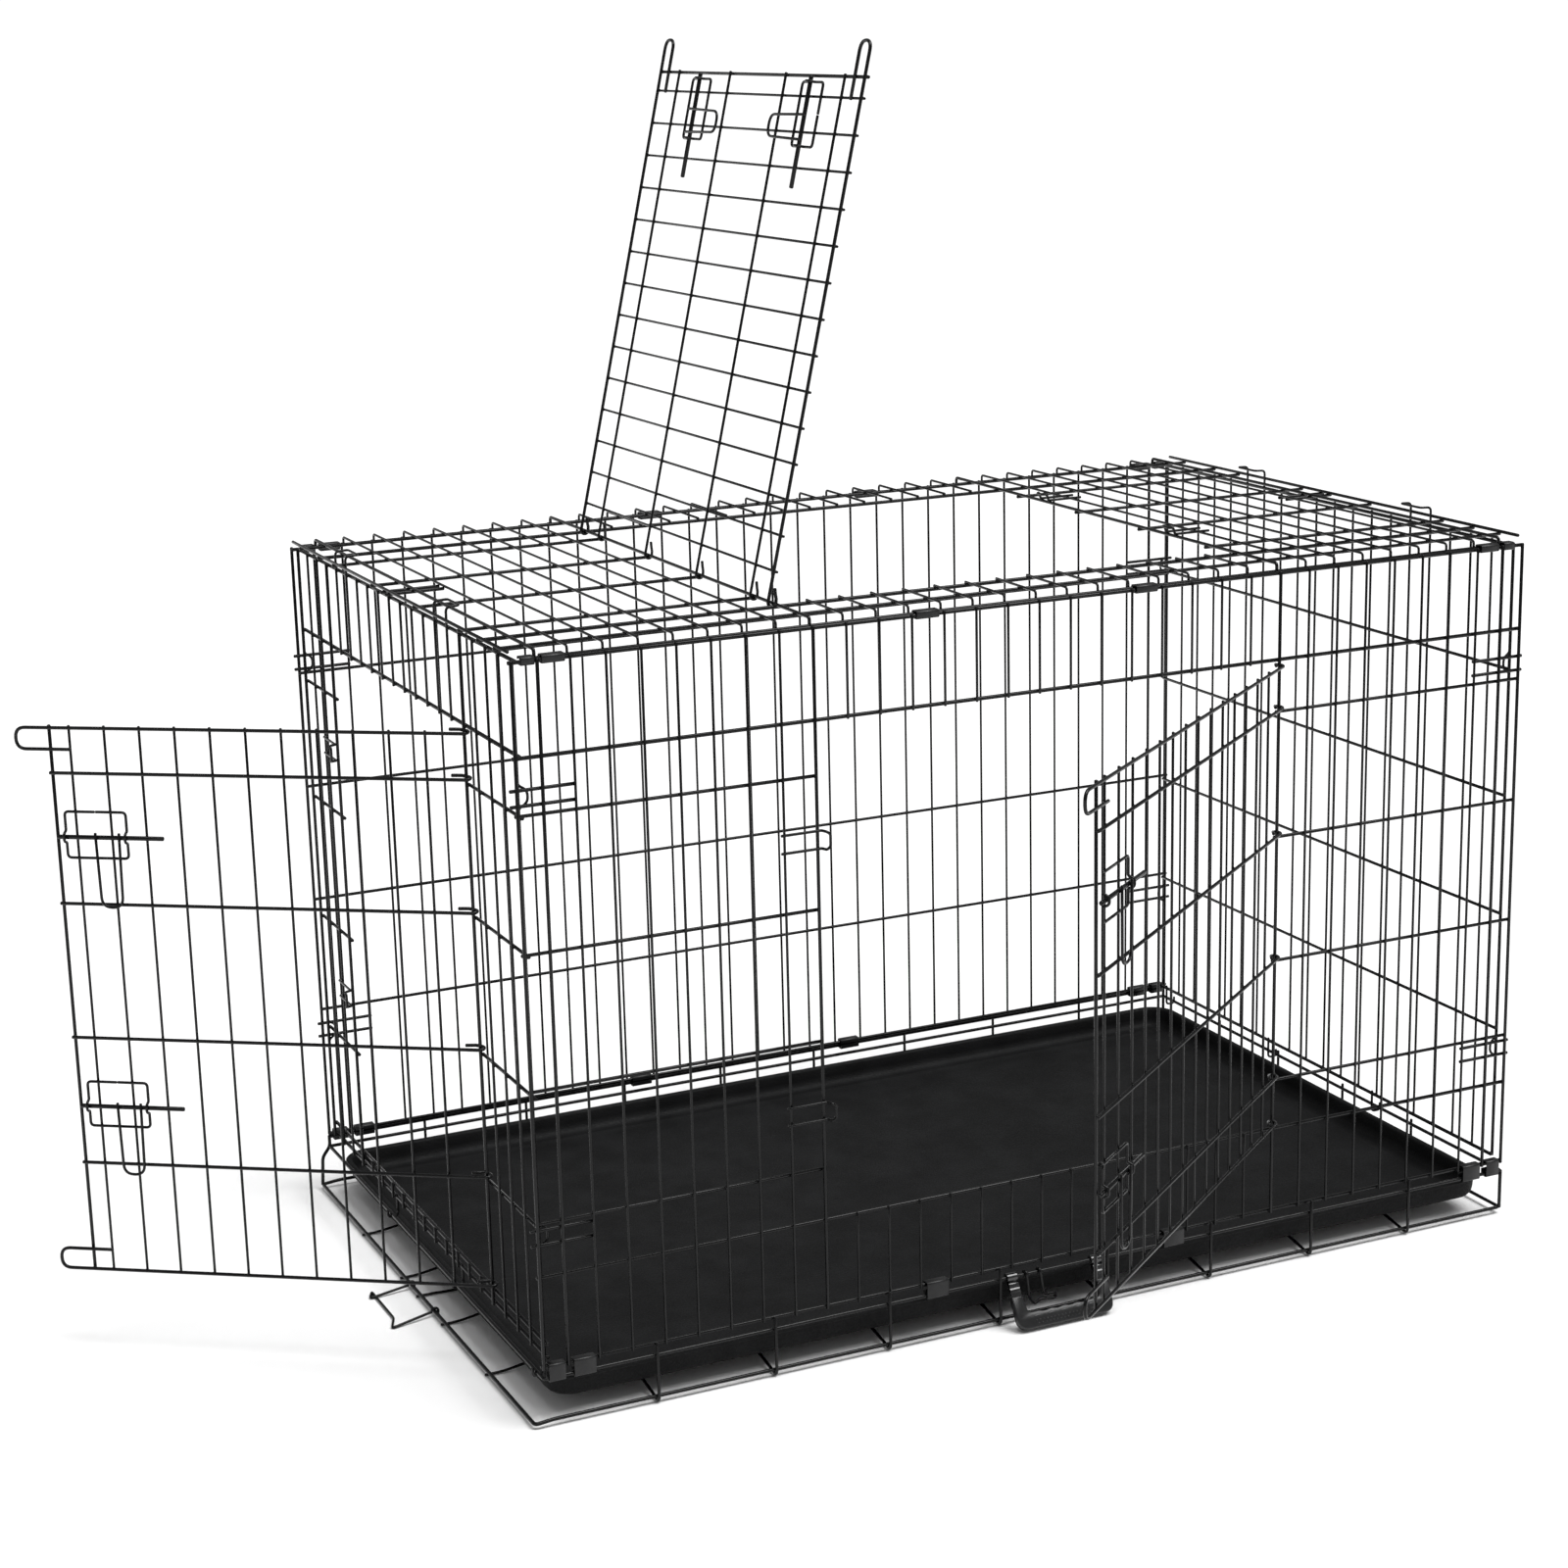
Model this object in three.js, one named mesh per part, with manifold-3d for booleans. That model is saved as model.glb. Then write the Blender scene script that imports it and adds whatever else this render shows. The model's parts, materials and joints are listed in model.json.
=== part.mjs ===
// Folding wire dog crate with three doors, a slide-out tray and a carry handle.
// Millimetres, +Z up. The origin is on the floor at the middle of the base, X is the long way
// (the end door is at -X) and the long side with the front door faces -Y.
// Every wire is a four-sided bar. A panel has two layers: the long wires lie inside, and the
// uprights cross them outside, a little sunk in where the two are welded.
import * as THREE from 'three';
import { mergeVertices } from 'three/addons/utils/BufferGeometryUtils.js';
import Module from 'manifold-3d';

const wasm = await Module();
wasm.setup();

// ---- driving dimensions ----
const LENGTH = 1210; // over the base's upper wires
const PANEL_OUT = 374; // front and back uprights, from the middle
const END_OUT = 597.5; // end panel uprights, from the middle
const ROOF_Z = 811.4; // outer layer of the top panel
const LAYER = 3.4; // between the two layers of a panel

const THIN = 1.3; // half-height of each wire's section
const MID = 1.9;
const RAIL = 2.3;
const FINE = 1.6;
const GAP = 0.35; // air between pieces
const EYE = { wall: 2.6, height: 3.2 }; // a wire curled round another one
const PAST = 1.5; // a wire's end beyond the last wire it is welded to

const SIDE_PITCH = 37.3; // front, back and top panels
const SIDE_CELLS = 29;
const END_PITCH = 38.3; // end panels
const END_CELLS = 19;

// heights of the long wires
const SIDE_BOTTOM = 66;
const BACK_BOTTOM = 72;
const SIDE_TOP = 801.4;
const FRONT_MIDS = [222, 363, 506, 648];
const BACK_MIDS = [233, 373, 514, 653];
const END_BOTTOM = 73;
const END_TOP = 801;
const LEFT_MIDS = [211, 353, 502, 644];
const RIGHT_MIDS = [230, 370, 511, 659];
const SIDE_LOOPS = [207, 666]; // loops of the end panels, each between two corner bars
const CORNER_BAR = 8; // corner bars above and below a side loop
const DOOR_SILL = { front: 164, left: 87 };
const DOOR_HEAD = { front: 706, left: 706 };

// doorways, as cells counted from the panel's first inner upright
const FRONT_DOORWAY = { from: 7, to: 22 };
const LEFT_DOORWAY = { from: 3, to: 15 };
const ROOF_DOORWAY_Y = -12; // middle of the top doorway
const ROOF_DOORWAY_HALF = 271;
const ROOF_MIDS = [-72, 72, -214, 214]; // long roof wires from the middle of the doorway
const ROOF_EXTRA = 331; // the outermost ones, from the middle of the roof
const ROOF_EDGE = 365.9; // the roof's edge wires lie against the side panels' top wires
const ROOF_DROP = 9; // and this far below the cross wires, whose ends are bent down to them
const ROOF_EDGE_END = 589; // and stop short of the end panels

// doors
const DOOR_OUT = 4.2; // long wires of a door, outside the hinge wire
const DOOR_EDGE_GAP = { front: 14, left: 14, top: 21 }; // free edge to doorway edge
const DOOR_FIRST_CELL = 21.5; // between the two wires at the free edge
const DOOR_INSET = 7; // outer wires to doorway edge
const DOOR_LOOP = { reach: 36, height: 23 };
const SWING = { front: 37.9, left: 55.6, top: 76.9 }; // how far each stands open, degrees

// latches: the middle of each pair along the hinge line, and how far each is from it
const LATCH_MIDDLE = { front: 435, left: 432.5, top: 12 };
const LATCH_OFFSET = { front: 147, left: 149.5, top: 144 };
const BOLT_R = 2.5;
const BOLT_OUT = 6.3;
const BOLT_LENGTH = 117;
// how far each door's guides and bolt tips lie behind its free edge
const GUIDE_BACK = { front: 10, left: 10.5, top: 7 };
const BOLT_BACK = { front: -1, left: 1.5, top: 1 };
const GUIDE = { length: 67, below: 23, above: 27, arch: 5.5, foot: 10 };
const PULL = { first: 6.5, width: 26, drop: 75, narrow: 1.5, above: 4.5 };
const CATCH = { half: 9.5, reach: 9.6, tail: 42, ramp: [3, 5.5] };

// base
const RUNNER = 1.5; // half-height of the long floor wires
const CROSS = 1.6; // half-height of the cross wires
const BED_Z = 17.4; // cross wires under the tray
const RAMP_IN = 287; // where the cross wires have risen from the floor to BED_Z
const RUNNER_IN = 520; // and where the long wires have
const CROSS_OUT = 377.35;
const CROSS_PITCH = 135.2;
const CROSS_FIRST = -478;
const CROSS_TOP = 68;
const WELD = 0.3;
const FLOOR_RIM = 2.2;
const RIM_Z = 54;
const RIM_END = 602.5;
const BACK_RIM_Z = 66.5; // a further long wire at the back, under the back panel
const LOW_END = { x: 614.5, z: 5.8, start: 594 }; // the left lower end wire, farther out
const RUNNERS_Y = [-230.75, -86.25, 58.25, 202.75];
const CROSS_COUNT = 8;
const STUBS_Y = [-195, -50, 95, 235]; // short uprights at the right end
const FLOOR_RIM_Z = 7.8;
const STUB_Z = FLOOR_RIM_Z - FLOOR_RIM - RUNNER + WELD;
const RIM_Y = CROSS_OUT - CROSS - FLOOR_RIM + WELD;

// tray
const TRAY = {
  halfLength: 589, halfWidth: 361, bottom: 19.5, top: 46, wall: 2.6, corner: 30, curl: 9, rim: 5,
};

// ---- materials ----
const steel = new THREE.MeshStandardMaterial({ color: 0x17181a, roughness: 0.42, metalness: 0.35 });
const plastic = new THREE.MeshStandardMaterial({ color: 0x1b1c1d, roughness: 0.62, metalness: 0 });
const grip = new THREE.MeshStandardMaterial({ color: 0x202122, roughness: 0.5, metalness: 0 });

// ---- solids ----
function toSolid(geometry) {
  const bare = geometry.index ? geometry.toNonIndexed() : geometry.clone();
  bare.deleteAttribute('normal');
  bare.deleteAttribute('uv');
  const merged = mergeVertices(bare, 1e-3);
  const index = [];
  const all = merged.index.array;
  for (let i = 0; i < all.length; i += 3) {
    const [a, b, c] = [all[i], all[i + 1], all[i + 2]];
    if (a !== b && b !== c && c !== a) index.push(a, b, c);
  }
  const mesh = new wasm.Mesh({
    numProp: 3,
    vertProperties: new Float32Array(merged.attributes.position.array),
    triVerts: new Uint32Array(index),
  });
  return new wasm.Manifold(mesh);
}

function toGeometry(solid) {
  const mesh = solid.getMesh();
  const geometry = new THREE.BufferGeometry();
  geometry.setAttribute('position', new THREE.BufferAttribute(new Float32Array(mesh.vertProperties), 3));
  geometry.setIndex(new THREE.BufferAttribute(new Uint32Array(mesh.triVerts), 1));
  geometry.computeVertexNormals();
  return geometry;
}

function join(pieces) {
  let solids = pieces.map(toSolid);
  while (solids.length > 1) {
    const next = [];
    for (let i = 0; i < solids.length; i += 2) {
      next.push(i + 1 < solids.length ? solids[i].add(solids[i + 1]) : solids[i]);
    }
    solids = next;
  }
  return toGeometry(solids[0]);
}

function cut(geometry, ...tools) {
  let solid = toSolid(geometry);
  for (const tool of tools) solid = solid.subtract(toSolid(tool));
  return toGeometry(solid);
}

// ---- wires ----
// A straight wire along one axis. The section stands on its corner, or lies flat when flat is set.
function bar(axis, from, to, at, half, flat = false) {
  const radius = flat ? half * Math.SQRT2 : half;
  const geometry = new THREE.CylinderGeometry(radius, radius, to - from, 4, 1);
  if (flat) geometry.rotateY(Math.PI / 4);
  geometry.translate(0, (from + to) / 2, 0);
  if (axis === 'x') geometry.rotateZ(-Math.PI / 2);
  if (axis === 'z') geometry.rotateX(Math.PI / 2);
  const [x, y, z] = at;
  return geometry.translate(x, y, z);
}

// A path through points whose samples fall on the points themselves.
class WirePath extends THREE.Curve {
  constructor(points) {
    super();
    this.points = points;
  }

  getPoint(t, target = new THREE.Vector3()) {
    const place = t * (this.points.length - 1);
    const i = Math.min(Math.floor(place + 1e-6), this.points.length - 2);
    return target.lerpVectors(this.points[i], this.points[i + 1], place - i);
  }

  getPointAt(u, target) {
    return this.getPoint(u, target);
  }

  getTangentAt(u, target = new THREE.Vector3()) {
    const last = this.points.length - 1;
    const i = Math.round(u * last);
    const before = this.points[Math.max(i - 1, 0)];
    const here = this.points[i];
    const after = this.points[Math.min(i + 1, last)];
    const arriving = here.clone().sub(before).normalize();
    const leaving = after.clone().sub(here).normalize();
    return target.copy(arriving).add(leaving).normalize();
  }
}

// Points of a bent wire: each inner corner is rounded off over the length bend.
function bent(corners, bend, steps = 2) {
  const points = corners.map((c) => new THREE.Vector3(...c));
  const path = [points[0]];
  for (let i = 1; i < points.length - 1; i += 1) {
    const corner = points[i];
    const before = points[i - 1].clone().sub(corner);
    const after = points[i + 1].clone().sub(corner);
    const reach = Math.min(bend, before.length() * 0.48, after.length() * 0.48);
    const start = corner.clone().add(before.setLength(reach));
    const end = corner.clone().add(after.setLength(reach));
    path.push(...new THREE.QuadraticBezierCurve3(start, corner, end).getPoints(steps));
  }
  path.push(points[points.length - 1]);
  return path;
}

function wire(corners, half, bend = 3, steps = 2) {
  const path = new WirePath(bent(corners, bend, steps));
  const section = new THREE.Shape();
  section.moveTo(half, 0);
  section.lineTo(0, half);
  section.lineTo(-half, 0);
  section.lineTo(0, -half);
  return new THREE.ExtrudeGeometry(section, {
    steps: path.points.length - 1,
    bevelEnabled: false,
    extrudePath: path,
  });
}

// A wire curled once round a hinge wire that runs along y (or x).
function eye(hingeHalf, wall, height, axis = 'y') {
  const sides = 6;
  const inner = (hingeHalf + GAP) / Math.cos(Math.PI / sides);
  const profile = [
    [inner, -height / 2],
    [inner + wall, -height / 2],
    [inner + wall, height / 2],
    [inner, height / 2],
    [inner, -height / 2],
  ].map(([r, h]) => new THREE.Vector2(r, h));
  const geometry = new THREE.LatheGeometry(profile, sides);
  if (axis === 'x') geometry.rotateZ(-Math.PI / 2);
  return geometry;
}

// ---- assembly ----
const crate = new THREE.Group();
crate.name = 'wire_dog_crate';

function add(name, geometry, material, parent) {
  const mesh = new THREE.Mesh(geometry, material);
  mesh.name = name;
  parent.add(mesh);
  return mesh;
}

// A frame for an upright panel: x along the panel, y up and z outwards. turn is its heading.
function uprightFrame(turn, out) {
  const heading = new THREE.Group();
  heading.rotation.z = turn;
  const frame = new THREE.Group();
  frame.rotation.x = Math.PI / 2;
  frame.position.set(0, -out, 0);
  heading.add(frame);
  crate.add(heading);
  return frame;
}

const frontFrame = uprightFrame(0, PANEL_OUT);
const backFrame = uprightFrame(Math.PI, PANEL_OUT);
const leftFrame = uprightFrame(-Math.PI / 2, END_OUT);
const rightFrame = uprightFrame(Math.PI / 2, END_OUT);
const roofFrame = new THREE.Group();
roofFrame.rotation.z = Math.PI;
roofFrame.position.set(0, 0, ROOF_Z);
crate.add(roofFrame);

// x of the uprights of a long panel: two close together at each end, then even cells
function sideUprights() {
  const first = -SIDE_PITCH * SIDE_CELLS / 2;
  const even = Array.from({ length: SIDE_CELLS + 1 }, (_, k) => first + SIDE_PITCH * k);
  return [-602, -575, ...even, 575, 602];
}

function endUprights() {
  const first = -END_PITCH * END_CELLS / 2;
  return Array.from({ length: END_CELLS + 1 }, (_, k) => first + END_PITCH * k);
}

const SIDE_X = sideUprights();
const END_X = endUprights();
const sideCell = (k) => -SIDE_PITCH * SIDE_CELLS / 2 + SIDE_PITCH * k;

const frontDoorway = {
  low: sideCell(FRONT_DOORWAY.from),
  high: sideCell(FRONT_DOORWAY.to),
  bottom: DOOR_SILL.front,
  top: DOOR_HEAD.front,
};
const leftDoorway = {
  low: END_X[LEFT_DOORWAY.from],
  high: END_X[LEFT_DOORWAY.to],
  bottom: DOOR_SILL.left,
  top: DOOR_HEAD.left,
};
// the roof frame is turned half round, so its y is opposite the crate's
const roofDoorway = {
  low: sideCell(FRONT_DOORWAY.from),
  high: sideCell(FRONT_DOORWAY.to),
  bottom: -ROOF_DOORWAY_Y - ROOF_DOORWAY_HALF,
  top: -ROOF_DOORWAY_Y + ROOF_DOORWAY_HALF,
};

// A panel of uprights welded to rails. Middle wires are held by the stout uprights only.
// Where drop is set, the rails lie that far below, and the uprights' ends are bent down to them.
function grille({ uprights, stout, rails, mids, doorway, drop = 0 }) {
  const pieces = [];
  const first = uprights[0];
  const last = uprights[uprights.length - 1];
  const bottom = rails[0] - (drop ? 0 : PAST);
  const top = rails[rails.length - 1] + (drop ? 0 : PAST);
  const near = (list, value) => list.some((v) => Math.abs(v - value) < 0.1);
  const stoutAt = doorway ? [...stout, doorway.low, doorway.high] : stout;
  for (const x of uprights) {
    const half = near(stoutAt, x) ? MID : THIN;
    const inDoorway = doorway && x > doorway.low + 1 && x < doorway.high - 1;
    if (inDoorway) {
      pieces.push(bar('y', bottom, doorway.bottom + PAST, [x, 0, 0], half));
      pieces.push(bar('y', doorway.top - PAST, top, [x, 0, 0], half));
    } else {
      pieces.push(bar('y', bottom, top, [x, 0, 0], half));
    }
    if (drop && Math.abs(x) < ROOF_EDGE_END) {
      for (const y of rails) pieces.push(bar('z', -drop, half, [x, y, 0], half));
    }
  }
  for (const y of rails) {
    if (drop) pieces.push(bar('x', -ROOF_EDGE_END, ROOF_EDGE_END, [0, y, -drop], RAIL));
    else pieces.push(bar('x', first - PAST, last + PAST, [0, y, -LAYER], RAIL));
  }
  for (const y of doorway ? [doorway.bottom, doorway.top] : []) {
    pieces.push(bar('x', first - PAST, last + PAST, [0, y, -LAYER], MID));
    pieces.push(bar('x', doorway.low + 8, doorway.high - 8, [0, y, -LAYER], RAIL));
  }
  for (const y of mids) {
    if (doorway && y > doorway.bottom && y < doorway.top) {
      pieces.push(bar('x', first - PAST, doorway.low + PAST, [0, y, -LAYER], MID));
      pieces.push(bar('x', doorway.high - PAST, last + PAST, [0, y, -LAYER], MID));
    } else {
      pieces.push(bar('x', first - PAST, last + PAST, [0, y, -LAYER], MID));
    }
  }
  return pieces;
}

// The loop at a doorway's edge that a bolt slides under.
function boltCatch(doorway, y) {
  const edge = doorway.low;
  const flat = MID + FINE - WELD;
  const raised = BOLT_OUT + BOLT_R + GAP + FINE;
  const side = (s) => [
    [edge - CATCH.tail, y + s * CATCH.half, flat],
    [edge + CATCH.ramp[0], y + s * CATCH.half, flat],
    [edge + CATCH.ramp[1], y + s * CATCH.half, raised],
    [edge + CATCH.reach, y + s * (CATCH.half - 3), raised],
  ];
  return wire([...side(-1), ...side(1).reverse()], FINE, 1, 1);
}

// Pairs of short bars at a panel's end, which the side loops of the end panel sit between.
function cornerBars(uprights) {
  const pieces = [];
  for (const y of SIDE_LOOPS.flatMap((loop) => [loop - CORNER_BAR, loop + CORNER_BAR])) {
    for (const s of [-1, 1]) {
      const from = s < 0 ? uprights[0] - 6 : uprights[uprights.length - 3];
      const to = s < 0 ? uprights[2] : uprights[uprights.length - 1] + 6;
      pieces.push(bar('x', from, to, [0, y, -LAYER], MID));
    }
  }
  return pieces;
}

const SIDE_STOUT = [-602, -575, 575, 602];
const doorMiddle = (doorway) => (doorway.bottom + doorway.top) / 2;

function catches(doorway, place) {
  return [-1, 1].map((s) => boltCatch(doorway, LATCH_MIDDLE[place] + s * LATCH_OFFSET[place]));
}

add('front_panel', join([
  ...grille({
    uprights: SIDE_X,
    stout: SIDE_STOUT,
    rails: [SIDE_BOTTOM, SIDE_TOP],
    mids: FRONT_MIDS,
    doorway: frontDoorway,
  }),
  ...catches(frontDoorway, 'front'),
  ...cornerBars(SIDE_X),
]), steel, frontFrame);

add('back_panel', join([
  ...grille({
    uprights: SIDE_X,
    stout: SIDE_STOUT,
    rails: [BACK_BOTTOM, SIDE_TOP],
    mids: BACK_MIDS,
  }),
  ...cornerBars(SIDE_X),
]), steel, backFrame);

// Two uprights that carry on above an end panel and bend in over the roof's end wire.
function roofHook(low) {
  const high = low + END_PITCH;
  const up = END_TOP + 21;
  const over = -15;
  return wire([
    [low, END_TOP - 1, 0],
    [low, up, 0],
    [low, up + 1, over],
    [high, up + 1, over],
    [high, up, 0],
    [high, END_TOP - 1, 0],
  ], THIN, 4, 1);
}

// A small hook from an end panel's bottom wire round the base's upper end wire.
function baseHook(x) {
  const inside = -LAYER;
  const outside = RIM_END - END_OUT + FLOOR_RIM + GAP + FINE;
  const low = RIM_Z - FLOOR_RIM - GAP - FINE - 0.6;
  return wire([
    [x, END_BOTTOM, inside],
    [x, low, inside],
    [x, low, outside],
    [x, RIM_Z + 2, outside],
  ], FINE, 3, 1);
}

// The loop at an end panel's side that sits between a pair of corner bars.
function sideLoop(edge, y) {
  const bow = -9.5;
  return wire([
    [edge, y - 12, 0],
    [edge + Math.sign(edge) * 1.5, y - 6, bow],
    [edge + Math.sign(edge) * 1.5, y + 6, bow],
    [edge, y + 12, 0],
  ], THIN, 4, 1);
}

const BASE_HOOKS_X = [-129, 101, 352];

function endPanel({ mids, doorway, hooks, rails }) {
  const edges = [END_X[0], END_X[END_X.length - 1]];
  const pieces = grille({ uprights: END_X, stout: edges, rails, mids, doorway });
  for (const k of hooks) pieces.push(roofHook(END_X[k]));
  for (const x of BASE_HOOKS_X) pieces.push(baseHook(x));
  for (const edge of edges) {
    for (const y of SIDE_LOOPS) pieces.push(sideLoop(edge, y));
  }
  return pieces;
}

add('left_panel', join([
  ...endPanel({
    mids: LEFT_MIDS,
    doorway: leftDoorway,
    hooks: [4, 13],
    rails: [END_BOTTOM, END_TOP],
  }),
  ...catches(leftDoorway, 'left'),
]), steel, leftFrame);

add('right_panel', join(endPanel({
  mids: RIGHT_MIDS,
  hooks: [4, 13],
  rails: [END_BOTTOM, END_TOP],
})), steel, rightFrame);

// The roof: cross wires outside, long wires inside, and a wire all round.
function roofPanel() {
  const middle = -ROOF_DOORWAY_Y;
  const pieces = grille({
    uprights: SIDE_X,
    stout: SIDE_STOUT,
    rails: [-ROOF_EDGE, ROOF_EDGE],
    mids: ROOF_MIDS.map((y) => middle + y),
    doorway: roofDoorway,
    drop: ROOF_DROP,
  });
  for (const y of [-ROOF_EXTRA, ROOF_EXTRA]) {
    pieces.push(bar('x', SIDE_X[0] - PAST, SIDE_X[SIDE_X.length - 1] + PAST, [0, y, -LAYER], MID));
  }
  for (const s of [-1, 1]) {
    const from = s < 0 ? SIDE_X[0] - 4 : SIDE_X[SIDE_X.length - 3];
    const to = s < 0 ? SIDE_X[2] : SIDE_X[SIDE_X.length - 1] + 4;
    for (const y of [-18, -2]) pieces.push(bar('x', from, to, [0, y, -LAYER], MID));
  }
  return [...pieces, ...catches(roofDoorway, 'top')];
}

add('top_panel', join(roofPanel()), steel, roofFrame);

// ---- doors ----
// A door hangs in its own frame: the hinge wire is the y axis, the door reaches along -x and
// z is outwards, so a turn about +y opens it.
function doorSolid(doorway, mids, cells, pitch, edgeGap) {
  const middle = doorMiddle(doorway);
  const half = (doorway.top - doorway.bottom) / 2 - DOOR_INSET;
  const width = doorway.high - doorway.low - edgeGap;
  const pieces = [];
  for (const y of [-half, half]) {
    pieces.push(bar('x', -width - 1, -2, [0, middle + y, DOOR_OUT], RAIL));
  }
  for (const y of mids) {
    pieces.push(bar('x', -width - PAST, -2, [0, y, DOOR_OUT], MID));
  }
  for (const y of [middle - half, ...mids, middle + half]) {
    pieces.push(eye(MID, EYE.wall, EYE.height).translate(0, y, 0));
  }
  const inner = DOOR_OUT - LAYER;
  pieces.push(bar('y', middle - half - PAST, middle + half + PAST, [-width, 0, inner], MID));
  for (let k = 0; k < cells; k += 1) {
    const x = -width + DOOR_FIRST_CELL + pitch * k;
    if (x < -12) {
      pieces.push(bar('y', middle - half - PAST, middle + half + PAST, [x, 0, inner], THIN));
    }
  }
  for (const s of [-1, 1]) {
    const outer = middle + s * half;
    const back = outer - s * DOOR_LOOP.height;
    pieces.push(wire([
      [-width + 3, outer, DOOR_OUT],
      [-width - DOOR_LOOP.reach, outer, DOOR_OUT],
      [-width - DOOR_LOOP.reach, back, DOOR_OUT],
      [-width + DOOR_FIRST_CELL + 1.5, back, DOOR_OUT],
    ], MID, 12, 2));
  }
  return { geometry: join(pieces), width };
}

function latch(name, door, y, width, way, place) {
  const outer = -width + GUIDE_BACK[place];
  const inner = outer + GUIDE.length;
  const flat = DOOR_OUT - LAYER + THIN + FINE + GAP;
  const arch = BOLT_OUT + BOLT_R + GAP + FINE;
  const side = (x, s) => [
    [x, y - s * GUIDE.foot, flat],
    [x, y - s * GUIDE.arch, arch],
    [x, y + s * GUIDE.arch, arch],
    [x, y + s * GUIDE.foot, flat],
  ];
  const seam = outer + GUIDE.length / 2;
  add(`${name}_guide`, wire([
    [seam - 0.4, y + GUIDE.above, flat],
    [outer, y + GUIDE.above, flat],
    ...side(outer, -1),
    [outer, y - GUIDE.below, flat],
    [inner, y - GUIDE.below, flat],
    ...side(inner, 1),
    [inner, y + GUIDE.above, flat],
    [seam + 0.4, y + GUIDE.above, flat],
  ], FINE, 4, 1), steel, door);

  const tip = -width + BOLT_BACK[place];
  const bolt = new THREE.CylinderGeometry(BOLT_R, BOLT_R, BOLT_LENGTH, 8);
  bolt.rotateZ(Math.PI / 2);
  bolt.translate(tip + BOLT_LENGTH / 2, y, BOLT_OUT);
  add(`${name}_bolt`, bolt, steel, door);

  const near = inner - PULL.first;
  const far = near - PULL.width;
  const out = BOLT_OUT + BOLT_R + GAP + FINE;
  add(`${name}_pull`, wire([
    [near, y - way * PULL.above, out],
    [near - PULL.narrow, y + way * PULL.drop, out],
    [far + PULL.narrow, y + way * PULL.drop, out],
    [far, y - way * PULL.above, out],
  ], FINE, 11, 3), steel, door);
}

function hangDoor(place, frame, doorway, panelMids, cells, pitch, ways) {
  const mids = panelMids.map((y) => y + ABOVE_MID[place]);
  const name = `${place}_door`;
  const middle = LATCH_MIDDLE[place];
  const offset = LATCH_OFFSET[place];
  const door = new THREE.Group();
  door.position.x = doorway.high;
  door.rotation.y = THREE.MathUtils.degToRad(SWING[place]);
  frame.add(door);
  const { geometry, width } = doorSolid(doorway, mids, cells, pitch, DOOR_EDGE_GAP[place]);
  add(name, geometry, steel, door);
  latch(`${name}_lower_latch`, door, middle - offset, width, ways[0], place);
  latch(`${name}_upper_latch`, door, middle + offset, width, ways[1], place);
}

// a door's middle wires hook round the hinge wire this far above the panel's own
const ABOVE_MID = { front: 4.6, left: 6.5, top: 4.6 };

const roofMids = ROOF_MIDS.map((y) => y - ROOF_DOORWAY_Y);
hangDoor('front', frontFrame, frontDoorway, FRONT_MIDS, 15, SIDE_PITCH, [-1, -1]);
hangDoor('left', leftFrame, leftDoorway, LEFT_MIDS, 12, END_PITCH, [-1, -1]);
hangDoor('top', roofFrame, roofDoorway, roofMids, 15, SIDE_PITCH, [1, -1]);

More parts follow.
